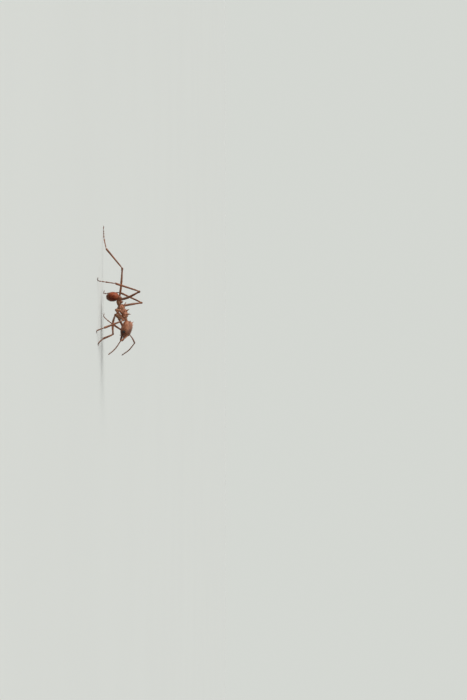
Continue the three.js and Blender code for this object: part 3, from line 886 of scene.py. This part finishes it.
def head_relief(at):
    """How far the head's furrows, feeler pits, eye rims and seams stand out or in."""
    x, y, z = at.T
    crown = smoothstep(-0.1, 0.3, z) * smoothstep(-1.5, -1.1, x) * smoothstep(0.45, 0.1, x)
    throat = smoothstep(-0.3, -0.6, z) * smoothstep(-1.3, -0.9, x) * smoothstep(0.5, 0.2, x)
    face = smoothstep(0.15, 0.35, z) * smoothstep(0.75, 0.6, np.abs(y))
    push = -0.035 * ridge(y, 0.05) * crown - 0.03 * ridge(y, 0.06) * throat
    push -= 0.04 * ridge(x - 0.9 - 0.1 * np.cos(3 * y), 0.045) * face
    for side in SIDES.values():
        socket = mirrored(FEELER["socket"], side)
        push -= 0.12 * bump_at(at, socket + (0, 0.06 * side, -0.06), 0.24)
        eye = np.linalg.norm((at - mirrored(EYE["at"], side)) / np.array(EYE["radii"]), axis=1)
        push += 0.025 * ridge(eye - 1.5, 0.16) - 0.05 * ridge(eye - 1.15, 0.14)
    return push


def head_shade(at):
    """Dark thorn tips; painted shade on the face and underside; dark cheeks, partly own colour and partly
    painted shade.
    """
    # painted shade: darker towards the face and jaws, below the face, and on the underside
    shade = 0.42 * smoothstep(-0.15, 0.75, at[:, 0])
    shade += 0.25 * smoothstep(0.1, 1.1, at[:, 0]) * smoothstep(0.3, -0.5, at[:, 2])
    shade += 0.3 * smoothstep(0.0, -0.9, at[:, 2])
    for side in SIDES.values():
        shade += 0.8 * bump_at(at, mirrored(HEAD_THORNS[0][1], side), 0.35)
        # dark cheeks: partly the ant's own colour, partly painted shade
        shade += 0.6 * bump_at(at, (0.92, 1.15 * side, -0.12), 0.52)
    return np.clip(shade, 0, 1)


class ANT_OT_head(bpy.types.Operator):
    """The heart-shaped head capsule with its lobes, spines, feeler pits and face plate"""

    bl_idname = "ant.head"
    bl_label = "Head"

    def execute(self, context):
        skin = fused(head_forms(), context.scene.ant_sizes.skin_voxel / MM, 6)
        push_out(skin, head_relief(coordinates(skin)))
        soften_creases(skin, 3)
        at = coordinates(skin)
        form = form_of(skin, shade=head_shade(at), lie=(1, 0, 0), unwrap=unwrapped(at, (0, 0, 0), 2.0))
        piece("head_shell", form.moved(HEAD_FRAME), "body_shell", ["head"])
        return {"FINISHED"}


class ANT_OT_eyes(bpy.types.Operator):
    """Two compound eyes with a domed lens in each cell of a six-sided net"""

    bl_idname = "ant.eyes"
    bl_label = "Eyes"

    def execute(self, context):
        pitch = context.scene.ant_sizes.facet / MM / EYE["radii"][0]
        rise = 0.866 * pitch  # from one row of lenses to the next
        ball = egg((0, 0, 0), 1.0, lambda s: [np.sqrt(1 - s * s)] * 3, 200, 130)
        way = unit(ball.verts)
        for side, y in SIDES.items():
            angle = np.arccos(np.clip(way[:, 1] * y, -1, 1))
            flat = way[:, [0, 2]] * (angle / np.maximum(np.sin(angle), 1e-6))[:, None]
            away = np.full(len(flat), np.inf)
            for step in (-1, 0, 1):
                row = np.round(flat[:, 1] / rise).astype(int) + step
                offset = 0.5 * (row % 2)
                column = np.round(flat[:, 0] / pitch - offset)
                centre = np.column_stack([(column + offset) * pitch, row * rise])
                away = np.minimum(away, np.linalg.norm(flat - centre, axis=1))
            dome = np.clip(1 - (away / (pitch * 0.58)) ** 2, 0, 1) * smoothstep(1.75, 1.5, angle)
            verts = way * np.array(EYE["radii"]) * (1 + 0.035 * dome)[:, None]
            form = Form(verts + mirrored(EYE["at"], y), ball.faces).moved(HEAD_FRAME)
            piece(f"eye_lens_{side}", form, "eye_glass", [f"eye_{side}"])
        return {"FINISHED"}


def jaw_outline():
    """The blade seen flat: hinge at the origin, reach along +X, teeth towards +Y."""
    reach, teeth = JAW["reach"], JAW["teeth"]
    apex, heel = np.array((reach, 0.52)), np.array((0.42 * reach, 0.66))
    outer = bezier([(JAW_REAR, -0.22), (0.25 * reach, -0.42), (0.9 * reach, -0.2), apex], 26)
    edge = []
    for i in range(1, teeth + 1):
        depth = 0.15 if i < 3 else 0.1  # the two notches nearest the tip are the deepest
        valley = apex + (heel - apex) * (i - 0.42) / teeth
        tooth = apex + (heel - apex) * i / teeth
        edge += [valley - (0, depth), tooth - (0, 0.02 * (i % 2))]
    inner = bezier([heel, (0.18 * reach, 0.3), (JAW_REAR, 0.3)], 14)[1:]
    return np.vstack([outer, edge, inner])


def depth_in(outline, points):
    """How far each flat point lies from the nearest side of an outline."""
    nearest = np.full(len(points), np.inf)
    for a, b in zip(outline, np.roll(outline, -1, axis=0)):
        side = b - a
        along = np.clip((points - a) @ side / (side @ side), 0, 1)
        nearest = np.minimum(nearest, np.linalg.norm(points - a - along[:, None] * side, axis=1))
    return nearest


def jaw_blade(voxel):
    """A plump toothed blade, with its hinge at the origin and its teeth towards +Y."""
    outline = jaw_outline()
    count = len(outline)
    verts = np.vstack([np.column_stack([outline, np.full(count, z)]) for z in (-0.5, 0.5)])
    faces = [list(range(count))[::-1], list(range(count, 2 * count))]
    faces += [[i, (i + 1) % count, (i + 1) % count + count, i + count] for i in range(count)]
    slab = fused([Form(verts * (1, 1, JAW["thick"]), faces)], voxel, 3)
    at = coordinates(slab)
    share = np.clip((at[:, 0] - JAW_REAR) / (JAW["reach"] - JAW_REAR), 0, 1)
    inside = np.clip(depth_in(outline, at[:, :2]) / 0.2, 0, 1)
    plump = 0.25 + 0.75 * np.sqrt(inside * (2 - inside))
    thin = (1 - 0.3 * share) * (1 - 0.55 * smoothstep(0.0, 0.62, at[:, 1]))
    shade = np.clip(smoothstep(0.36, 0.6, at[:, 1]) + 0.5 * smoothstep(0.8, 1.0, share), 0, 1)
    blade = form_of(slab, shade=shade)
    blade.verts[:, 2] = 1.15 * at[:, 2] * plump * thin - 0.16 * share * share
    return blade


class ANT_OT_jaws(bpy.types.Operator):
    """Two broad curved jaws with a saw of teeth along the inner edge"""

    bl_idname = "ant.jaws"
    bl_label = "Jaws"

    def execute(self, context):
        blade = jaw_blade(context.scene.ant_sizes.jaw_voxel / MM)
        cos, sin = math.cos(JAW["open"]), math.sin(JAW["open"])
        x, inner, z = blade.verts.T * ((1,), (-1,), (1,))
        for side, y in SIDES.items():
            hinge = mirrored(JAW["hinge"], y)
            verts = hinge + np.column_stack([x * cos - inner * sin, (x * sin + inner * cos) * y, z])
            faces = blade.faces if y < 0 else [face[::-1] for face in blade.faces]
            jaw = Form(verts, faces, shade=blade.shade, lie=(1, 0, 0), unwrap=unwrapped(verts, hinge, 1.6))
            piece(f"jaw_{side}", jaw.moved(HEAD_FRAME), "jaw_shell", [f"mandible_{side}"])
        return {"FINISHED"}


def palp(root, reach, beads):
    """A little limb of beads below the mouth."""
    knots = [(0, 0.03)]
    for i in range(beads):
        knots += [(i / beads + 0.02, 0.026), ((i + 0.6) / beads, 0.045), ((i + 0.97) / beads, 0.034)]
    knots.append((1, 0.02))
    return tube([root, root + reach / 2 + (0.05, 0, 0.02), root + reach], knots, 12, 0.02)


class ANT_OT_mouth(bpy.types.Operator):
    """The upper lip between the jaws and the little jointed palps below it"""

    bl_idname = "ant.mouth"
    bl_label = "Mouthparts"

    def execute(self, context):
        def lip_half(s):
            return [w * np.sqrt(1 - s * s) for w in (0.32, 0.16, 0.2)]

        forms = [egg((1.32, 0, -0.34), 0.15, lip_half, 40, 24)]
        for y in SIDES.values():
            forms.append(palp(mirrored((1.1, 0.3, -0.62), y), mirrored((0.34, 0.1, -0.3), y), 4))
            forms.append(palp(mirrored((1.16, 0.13, -0.74), y), mirrored((0.3, -0.02, -0.24), y), 2))
        piece("mouthparts", joined(forms).moved(HEAD_FRAME), "leg_shell")
        return {"FINISHED"}


def lash_forms(elbow, tip, radius):
    """The pieces of a feeler's lash, thickest past its middle."""
    marks = np.concatenate([[0], np.cumsum(LASH_PIECES) / LASH_PIECES.sum()])
    path = spline([elbow, (elbow + tip) / 2 + (0.12, 0, 0.2), tip], 400)
    last = len(LASH_PIECES) - 1
    forms = []
    for i in range(last + 1):
        swell = radius * (0.86 + 0.2 * math.sin(math.pi * (i + 1) / (last + 2)))
        span = stretch(path, marks[i], marks[i + 1], (0, 0.5, 1))
        root = 0.42 if i == 0 else 0.62
        full, end = (0.72, 0.35) if i == last else (0.97, 0.74)
        profile = scaled([(0, root), (0.12, 0.8), (0.55, 1), (0.85, full), (1, end)], swell)
        forms.append(tube(span, profile, 16, 0.035, pale=[(0, 0.8), (0.12, 0), (1, 0)], ends=(0.5, 0.6)))
    return forms


class ANT_OT_feelers(bpy.types.Operator):
    """Two elbowed feelers: a long stalk and a lash of ten small pieces"""

    bl_idname = "ant.feelers"
    bl_label = "Feelers"

    def execute(self, context):
        sizes = context.scene.ant_sizes
        profile = [(0, 0.1), (0.03, 0.1), (0.055, 0.06), (0.09, 0.075)] + scaled(STALK, sizes.scape / MM)
        pale = [(0, 0), (0.03, 0), (0.05, 0.7), (0.08, 0), (0.97, 0), (1, 0.3)]
        for side in SIDES:
            socket, elbow, tip = feeler_points(side)
            along = unit(elbow - socket)
            bow = socket + (elbow - socket) * 0.4 + (-0.02, 0, 0.16)
            stalk = tube([socket - along * 0.1, bow, elbow + along * 0.08], profile, 20, 0.05, pale=pale)
            form = joined([stalk] + lash_forms(elbow, tip, sizes.lash / MM)).moved(HEAD_FRAME)
            nodes = [f"antenna_scape_{side}", f"antenna_flagellum_{side}"]
            piece(f"feeler_{side}", form, "leg_shell", nodes)
        return {"FINISHED"}


# ---- thorax, waist and gaster
def thorax_forms():
    neck = [(2.3, 0, -0.05), (3.2, 0, -0.02), (4.0, 0, 0.02)]
    forms = [
        ellipsoid((0.52, 0, 0.06), (0.62, 0.5, 0.58)),
        ellipsoid((1.32, 0, -0.06), (0.8, 0.56, 0.62)),
        ellipsoid((1.58, 0, 0.36), (0.6, 0.5, 0.44)),
        ellipsoid((2.15, 0, 0.1), (0.7, 0.81, 0.67)),
        ellipsoid((2.55, 0, -0.1), (0.55, 0.44, 0.44)),
        tube(neck, [(0, 0.46), (0.5, 0.33), (1, 0.24)], 32, 0.05),
    ]
    for y in SIDES.values():
        forms.append(ellipsoid((0.62, 0.34 * y, -0.24), (0.34, 0.2, 0.2)))
        forms.append(ellipsoid((1.4, 0.36 * y, -0.34), (0.42, 0.25, 0.32)))
        forms.append(ellipsoid((0.62, 0.42 * y, 0.16), (0.12, 0.1, 0.1), 24, 16))
        for size in LEGS.values():
            forms.append(ellipsoid(mirrored(size["root"], y) * (1, 0.92, 0.9), (0.32, 0.25, 0.27), 32, 24))
        forms += thorns(THORAX_THORNS, y)
    return forms


def waist_forms():
    stalk = [(-0.1, 0, 4.0), (-0.55, 0, 3.8), (-1.1, 0, 3.68), (-1.75, 0, 3.66)]
    forms = [
        tube(stalk, [(0, 0.17), (0.3, 0.17), (0.6, 0.26), (1, 0.22)], 32, 0.04),
        ellipsoid((-1.2, 0, 3.92), (0.32, 0.36, 0.45)),
        ellipsoid((-1.97, 0, 3.8), (0.32, 0.56, 0.38)),
        ellipsoid((-2.14, 0, 3.66), (0.34, 0.54, 0.3)),
    ]
    for y in SIDES.values():
        forms.append(ellipsoid((-2.02, 0.4 * y, 3.88), (0.24, 0.24, 0.25), 32, 24))
        forms += thorns(WAIST_THORNS, y)
    return forms


def trunk_relief(local):
    """How far the seams and breathing holes of the thorax stand out or in, in its own frame."""
    x, y, z = local.T
    flank = smoothstep(0.3, 0.42, np.abs(y))
    mid_flank = flank * smoothstep(0.6, 0.8, x) * smoothstep(2.05, 1.9, x)
    seams = (  # distance from each seam, its width and depth, and where it runs
        (x - 1.06 + 0.12 * z, 0.05, 0.05, smoothstep(-0.2, 0.0, z)),
        (x - 1.82 + 0.25 * z * z, 0.035, 0.03, smoothstep(-0.45, -0.2, z) * smoothstep(2.6, 2.3, x)),
        (z + 0.12 - 0.25 * (x - 1.3), 0.035, 0.028, mid_flank),
        (x - 0.98 - 0.5 * z, 0.035, 0.03, flank * smoothstep(0.1, -0.1, z)),
        (x - 2.72, 0.04, 0.03, 1),
    )
    push = -sum(depth * ridge(distance, width) * where for distance, width, depth, where in seams)
    for side in SIDES.values():
        hole = np.linalg.norm(local - (0.62, 0.55 * side, 0.16), axis=1)
        push += 0.02 * ridge(hole - 0.09, 0.03) - 0.05 * ridge(hole, 0.05)
    return push


def trunk_shade(local):
    """Dark thorn tips, neck and waist."""
    shade = 0.35 * smoothstep(3.0, 3.3, local[:, 0]) + 0.66 * smoothstep(-0.1, -0.5, local[:, 0])
    for side in SIDES.values():
        for _, tip, _ in THORAX_THORNS:
            shade += 0.6 * bump_at(local, mirrored(tip, side), 0.34)
    return np.clip(shade, 0, 1)


class ANT_OT_trunk(bpy.types.Operator):
    """Thorax with its thorns and seams, and the two small knots of the waist, in one skin"""

    bl_idname = "ant.trunk"
    bl_label = "Thorax and waist"

    def execute(self, context):
        forms = [form.moved(THORAX_FRAME) for form in thorax_forms()] + waist_forms()
        skin = fused(forms, context.scene.ant_sizes.skin_voxel / MM, 5)
        to_thorax = np.linalg.inv(THORAX_FRAME)
        push_out(skin, trunk_relief(carry(to_thorax, coordinates(skin))))
        at = coordinates(skin)
        shade = trunk_shade(carry(to_thorax, at))
        form = form_of(skin, shade=shade, lie=(-0.95, 0, 0.2), unwrap=unwrapped(at, (0.4, 0, 4.0), 3.2))
        piece("trunk_shell", form, "body_shell", ["thorax", "petiole", "postpetiole"])
        return {"FINISHED"}


def tergite(number, start, stop):
    """One ring of the gaster's shell, from inside the ring before it out to its own turned-in lip."""
    width, depth, reach = GASTER["width"], GASTER["depth"], GASTER["length"] / 2
    has_lip = number < len(TERGITES)
    inside = max(start - 0.16, -GASTER_END)
    if number == 0:
        shares = (0.5 * (1 - np.cos(np.linspace(0, math.pi, 60)))) ** 0.9
    else:
        shares = np.linspace(0, 1, 26)
    s = inside + (stop - 0.01 - inside) * shares
    s = np.clip(np.append(s, (stop, stop + 0.004, stop)), -GASTER_END, GASTER_END)
    radius = np.sqrt(np.maximum(1 - np.abs(s) ** np.where(s < 0, 2.1, 2.4), 0)) * (1 - 0.042 * number)
    if has_lip:
        radius[-3:] *= (1.0, 0.985, 0.952)
        s = np.append(s, stop - 0.1)
        radius = np.append(radius, radius[-1] * 0.98)
    turn = np.linspace(0, 2 * math.pi, GASTER_SIDES, endpoint=False)
    folds = ridge(turn - 1.14 * math.pi, 0.05) + ridge(turn - 1.86 * math.pi, 0.05)
    across = width * np.cos(turn) * (1 - 0.012 * folds)
    height = np.where(np.sin(turn) > 0, depth, depth * 1.02) * np.sin(turn) * (1 - 0.012 * folds)
    radius = radius[:, None]
    grid = np.broadcast_arrays((reach + s * reach)[:, None], radius * across, radius * height)
    verts, faces = ringed(np.stack(grid, axis=2))
    near_lip = has_lip * smoothstep(stop - 0.14, stop - 0.02, s)
    tucked_in = (number > 0) * smoothstep(start + 0.035, start + 0.005, s)
    dark = np.clip(0.75 * near_lip + 0.15 * number + 0.22 * smoothstep(0.1, 0.6, s), 0, 0.85)
    # painted shade: the underside is darkened
    underside = smoothstep(0.2, 0.95, verts[:, 2] / depth)
    shade = np.clip(per_ring(dark, GASTER_SIDES) + 0.5 * underside, 0, 0.9)
    pale = 0.7 * per_ring(tucked_in, GASTER_SIDES)
    return Form(verts, faces, shade, pale, (1, 0, 0), laid_out((s + 1) / 2, GASTER_SIDES))


class ANT_OT_gaster(bpy.types.Operator):
    """The egg-shaped gaster: one large ring of shell and four small ones that slide under it"""

    bl_idname = "ant.gaster"
    bl_label = "Gaster"

    def execute(self, context):
        marks = (-GASTER_END, *TERGITES, GASTER_END)
        forms = [tergite(i, marks[i], marks[i + 1]) for i in range(len(marks) - 1)]
        sting = thorn((GASTER["length"] - 0.12, 0, -0.02), (GASTER["length"], 0, -0.05), 0.045)
        sting.shade[:] = 1
        form = joined(forms + [sting]).moved(GASTER_FRAME)
        piece("gaster_shell", form, "gaster_shell", ["gaster"])
        return {"FINISHED"}


# ---- legs
def claw_forms(toe, heading):
    """Two hooked claws with a small pad between them, at the end of a foot."""
    sideways = np.array((-heading[1], heading[0], 0))
    forms = []
    for y in SIDES.values():
        root = toe - heading * 0.04 + (0, 0, 0.03)
        arch = toe + heading * 0.17 + sideways * 0.13 * y
        tip = toe + heading * 0.34 + sideways * 0.2 * y
        arch[2], tip[2] = 0.17, 0.03
        profile = [(0, 0.05), (0.4, 0.038), (1, 0.009)]
        forms.append(tube([root, arch, tip], profile, 12, 0.02, shade=[(0, 0.3), (1, 1)]))
    pad = toe + heading * 0.1
    pad[2] = 0.075
    forms.append(tube([toe, pad], [(0, 0.055), (0.6, 0.06), (1, 0.05)], 14, 0.02, flat=0.7, shade=0.55))
    return forms


def foot_forms(points, radius):
    """Five pieces of a foot, each flared at its end, and the claws."""
    ankle, touch, toe, heading = (points[k] for k in ("ankle", "touch", "toe", "heading"))
    bow = ankle + (touch - ankle) * 0.6 + (0, 0, -0.12)
    path = spline([ankle, bow, touch, toe], 500)
    marks = (0.0, *TARSUS_JOINTS, 1.0)
    forms = []
    for i, (profile, size) in enumerate(FOOT_PIECES):
        span = stretch(path, marks[i], marks[i + 1], (0, 0.33, 0.66, 1))
        knots = scaled(profile, radius * size)
        pale = [(0, 0.5), (0.08, 0), (1, 0)]
        forms.append(tube(span, knots, 18, 0.045, shade=0.1 * i, pale=pale, ends=(0.6, 0.7)))
    if min(form.verts[:, 2].min() for form in forms) < 0:
        for form in forms:
            form.verts[:, 2] = np.maximum(form.verts[:, 2], CLEAR)
    return forms + claw_forms(toe, heading)


def leg_forms(pair, side, sizes):
    """Hip, ring, thigh, shin, spur and foot of one leg."""
    thigh, shin = sizes.femur / MM, sizes.tibia / MM
    points = leg_points(pair, side)
    root, hip, knee, ankle = (points[k] for k in ("root", "hip", "knee", "ankle"))
    coxa_way, thigh_way, shin_way = unit(hip - root), unit(knee - hip), unit(ankle - knee)
    sideways = unit(np.cross(shin_way, (0, 0, 1)))
    coxa = tube(
        [root - coxa_way * 0.1, hip + coxa_way * 0.05],
        scaled(COXA, LEGS[pair]["girth"]) + [(0.93, 0.22), (1, 0.18)],
        28,
        0.05,
        shade=[(0, 0.6), (0.2, 0.1), (0.3, 0), (0.85, 0), (1, 0.35)],
        # the pale tint all along the hip, past its joint end, is painted light
        pale=[(0, 0.5), (0.1, 0.3), (0.15, 0.27), (1, 0.2)],
    )
    ring = tube(
        [hip - thigh_way * 0.08, hip + thigh_way * 0.4],
        [(0, 0.12), (0.25, 0.15), (0.65, 0.165), (0.88, 0.14), (1, 0.12)],
        24,
        0.035,
        shade=0.15,
        pale=[(0, 0.7), (0.14, 0.1), (0.9, 0), (1, 0.5)],
    )
    femur = tube(
        [hip + thigh_way * 0.32, hip + (knee - hip) * 0.45 + points["bow"], knee + thigh_way * 0.14],
        scaled(THIGH, thigh),
        24,
        flat=0.88,
        shade=[(0, 0.25), (0.08, 0), (0.85, 0), (0.97, 0.4), (1, 0.5)],
        pale=[(0, 0.3), (0.03, 0), (1, 0)],
    )
    tibia = tube(
        [knee - thigh_way * 0.04, knee + shin_way * 0.3, ankle + shin_way * 0.06],
        scaled(SHIN, shin),
        24,
        flat=0.92,
        shade=[(0, 0.55), (0.06, 0.2), (0.15, 0), (0.93, 0), (1, 0.35)],
        pale=[(0, 0), (0.03, 0), (0.05, 0.35), (0.09, 0), (1, 0)],
    )
    spur_root = ankle - shin_way * 0.05 + sideways * shin * 0.6
    spur_tip = ankle + shin_way * 0.32 + sideways * shin * 1.7
    spur = tube(
        [spur_root, (spur_root + spur_tip) / 2 + sideways * 0.03, spur_tip],
        [(0, 0.035), (0.5, 0.026), (1, 0.006)],
        10,
        0.03,
        shade=0.3,
    )
    return [coxa, ring, femur, tibia, spur] + foot_forms(points, sizes.tarsus / MM)


class ANT_OT_legs(bpy.types.Operator):
    """Six long thin legs, each with hip, ring, thigh, shin, spur, five foot pieces and two claws"""

    bl_idname = "ant.legs"
    bl_label = "Legs"

    def execute(self, context):
        for pair in LEGS:
            for side in SIDES:
                name = f"leg_{pair}_{side}"
                nodes = [f"{name}_{part}" for part in ("coxa", "femur", "tibia", "tarsus")]
                form = joined(leg_forms(pair, side, context.scene.ant_sizes))
                piece(name, form, "leg_shell", nodes)
        return {"FINISHED"}


# ---- bristles
def scatter(form, count, rng):
    """Roots, outward directions, lie and flat place of bristles strewn over a form, few on its soft skin."""
    triangles = np.array([[f[0], f[i], f[i + 1]] for f in form.faces for i in range(1, len(f) - 1)])
    a, b, c = (form.verts[triangles[:, k]] for k in range(3))
    cross = np.cross(b - a, c - a)
    hard = 1 - 0.9 * np.clip(form.pale, 0, 1)
    chance = np.linalg.norm(cross, axis=1) / 2 * hard[triangles[:, 0]]
    picked = rng.choice(len(triangles), count, p=chance / chance.sum())
    u, v = rng.random((2, count))
    over = u + v > 1
    u[over], v[over] = 1 - u[over], 1 - v[over]
    corner = triangles[picked, 0]
    root = a[picked] + (b - a)[picked] * u[:, None] + (c - a)[picked] * v[:, None]
    return root, unit(cross[picked]), form.lie[corner], form.unwrap[corner]


def bristle_form(root, out, lie, sheet, reach, radius, stand, rng):
    """Thin bent cones with three sides. Where stand is 1 they stand straight out, and at 0 they lie flat."""
    lie = unit(lie - out * (lie * out).sum(axis=1, keepdims=True))
    side = np.cross(out, lie)
    lie = unit(lie + side * rng.normal(0, 0.28, (len(root), 1)))
    way = unit(out * stand[:, None] + lie * (1 - stand[:, None]) + 0.05 * side)
    across = unit(np.cross(way, lie + 1e-3))
    third = np.cross(way, across)
    foot = root - out * 0.01  # a little below the shell
    curl = (lie - out * 0.4) * 0.3
    points = []
    for share, thin in ((0.0, 1.0), (0.4, 0.8), (0.75, 0.5)):
        middle = foot + reach[:, None] * (way * share + curl * share**2)
        thick = radius[:, None] * thin
        for k in range(3):
            turn = 2 * math.pi * k / 3
            points.append(middle + thick * (math.cos(turn) * across + math.sin(turn) * third))
    points.append(foot + reach[:, None] * (way + curl))
    verts = np.stack(points, axis=1)
    clear = verts[:, :, 2].min(axis=1) > CLEAR  # the others would poke through the floor
    verts, sheet = verts[clear], sheet[clear]
    count = len(verts)
    round_it = [(k, (k + 1) % 3) for k in range(3)]
    pattern = [[low + k, low + m, low + 3 + m, low + 3 + k] for low in (0, 3) for k, m in round_it]
    pattern += [[6 + k, 6 + m, 9] for k, m in round_it] + [[2, 1, 0]]
    faces = [[start + i for i in face] for start in range(0, 10 * count, 10) for face in pattern]
    corner = np.array([(0.2 + 0.3 * (i % 3), 0.1 + 0.26 * (i // 3)) for i in range(9)] + [(0.5, 0.95)])
    layout = (sheet[:, None, :] + (corner[None] - 0.5) * BAKE_PATCH).reshape(-1, 2)
    tip = np.tile([0, 0, 0, 0.5, 0.5, 0.5, 0.9, 0.9, 0.9, 1], count)
    return Form(verts.reshape(-1, 3), faces, pale=tip, unwrap=layout)


class ANT_OT_bristles(bpy.types.Operator):
    """Short curved bristles over the shell, and a close down on the feelers and feet"""

    bl_idname = "ant.bristles"
    bl_label = "Bristles"

    def execute(self, context):
        sizes = context.scene.ant_sizes
        rng = np.random.default_rng(7)
        for name, (slot, sources) in COATS.items():
            forms = []
            for source, (count, share, stand) in sources.items():
                places = scatter(COAT[source], count, rng)
                reach = sizes.bristle / MM * share * rng.uniform(0.65, 1.25, count)
                radius = sizes.bristle_radius / MM * (0.6 + 0.4 * share) * rng.uniform(0.8, 1.2, count)
                rise = np.clip(stand + rng.normal(0, 0.08, count), 0.12, 0.9)
                forms.append(bristle_form(*places, reach, radius, rise, rng))
            form = joined(forms)
            mesh = piece(name, form, "bristle").data
            corners = read(mesh.loops, "vertex_index", 1, np.int64)[:, 0]
            mesh.uv_layers.new(name="OFBake").data.foreach_set("uv", form.unwrap[corners].ravel())
        return {"FINISHED"}


# ---- floor, light and camera
def lamp(name, way, power, softness):
    """A broad soft light from one side of the sky."""
    data = bpy.data.lights.new(name, "SUN")
    data.energy = power
    data.angle = math.radians(softness)
    thing = bpy.data.objects.new(name, data)
    bpy.context.scene.collection.objects.link(thing)
    thing.location = Vector(way) * 0.1
    thing.rotation_euler = Vector(way).to_track_quat("Z", "Y").to_euler()


def room(look):
    """A light room that shows as a plain backdrop past the end of the floor."""
    world = bpy.data.worlds.new("room")
    world.use_nodes = True
    world.node_tree.nodes.clear()
    s = Shading(world.node_tree)
    light = s.add("Background", {"Color": rgba(look.sky), "Strength": look.room_light})
    seen = s.add("Background", {"Color": rgba(look.backdrop), "Strength": 1.0})
    direct = s.add("LightPath").outputs["Is Camera Ray"]
    mixed = s.add("MixShader", {0: direct, 1: light.outputs[0], 2: seen.outputs[0]})
    s.add("OutputWorld", {"Surface": mixed.outputs[0]})
    return world


class ANT_OT_stage(bpy.types.Operator):
    """A plain pale floor, soft light and the camera, turned on its side"""

    bl_idname = "ant.stage"
    bl_label = "Floor, light and camera"

    def execute(self, context):
        scene = context.scene
        look = scene.ant_stage
        mesh = bpy.data.meshes.new("floor")
        turn = np.linspace(0, 2 * math.pi, 96, endpoint=False)
        rim = [(FLOOR_REACH * math.cos(a), FLOOR_REACH * math.sin(a), 0) for a in turn]
        mesh.from_pydata(rim, [], [list(range(len(rim)))])
        floor = bpy.data.objects.new("floor", mesh)
        scene.collection.objects.link(floor)
        floor.data.materials.append(finish("floor_paint"))
        scene.world = room(look)
        lamp("key_light", (-0.85, -0.28, 0.45), look.key_light, 45)
        lamp("fill_light", (0.1, -0.4, 0.9), look.fill_light, 60)
        scene.view_settings.view_transform = "Standard"
        data = bpy.data.cameras.new("camera")
        data.lens = look.lens
        data.sensor_width = 36.0
        data.clip_start = 0.01
        data.clip_end = 50.0
        camera = bpy.data.objects.new("camera", data)
        scene.collection.objects.link(camera)
        right, up, back = Vector((0, 0, 1)), Vector((-1, 0, 0)), Vector((0, -1, 0))
        turned = Matrix((right, up, back)).transposed().to_4x4()
        camera.matrix_world = Matrix.Translation(carry(ROW, CAMERA_AT) * MM) @ turned
        scene.camera = camera
        return {"FINISHED"}


class ANT_PT_panel(bpy.types.Panel):
    """Lists the ant's pieces"""

    bl_label = "Leafcutter ant"
    bl_idname = "ANT_PT_panel"
    bl_space_type = "VIEW_3D"
    bl_region_type = "UI"
    bl_category = "Ant"

    def draw(self, context):
        for operator in BUILD_ORDER:
            self.layout.operator(operator.bl_idname)
        for group in (context.scene.ant_sizes, context.scene.ant_colours, context.scene.ant_stage):
            box = self.layout.box()
            for name in group.__annotations__:
                box.prop(group, name)


BUILD_ORDER = (
    ANT_OT_head,
    ANT_OT_eyes,
    ANT_OT_jaws,
    ANT_OT_mouth,
    ANT_OT_feelers,
    ANT_OT_trunk,
    ANT_OT_gaster,
    ANT_OT_legs,
    ANT_OT_bristles,
    ANT_OT_stage,
)
GROUPS = {"ant_sizes": AntSizes, "ant_colours": AntColours, "ant_stage": AntStage}


def register():
    for group in (*GROUPS.values(), *BUILD_ORDER, ANT_PT_panel):
        bpy.utils.register_class(group)
    for name, group in GROUPS.items():
        setattr(bpy.types.Scene, name, bpy.props.PointerProperty(type=group))


def unregister():
    for name in GROUPS:
        delattr(bpy.types.Scene, name)
    for group in reversed((*GROUPS.values(), *BUILD_ORDER, ANT_PT_panel)):
        bpy.utils.unregister_class(group)


def main():
    register()
    for operator in BUILD_ORDER:
        family, name = operator.bl_idname.split(".")
        getattr(getattr(bpy.ops, family), name)()


if __name__ == "__main__":
    main()
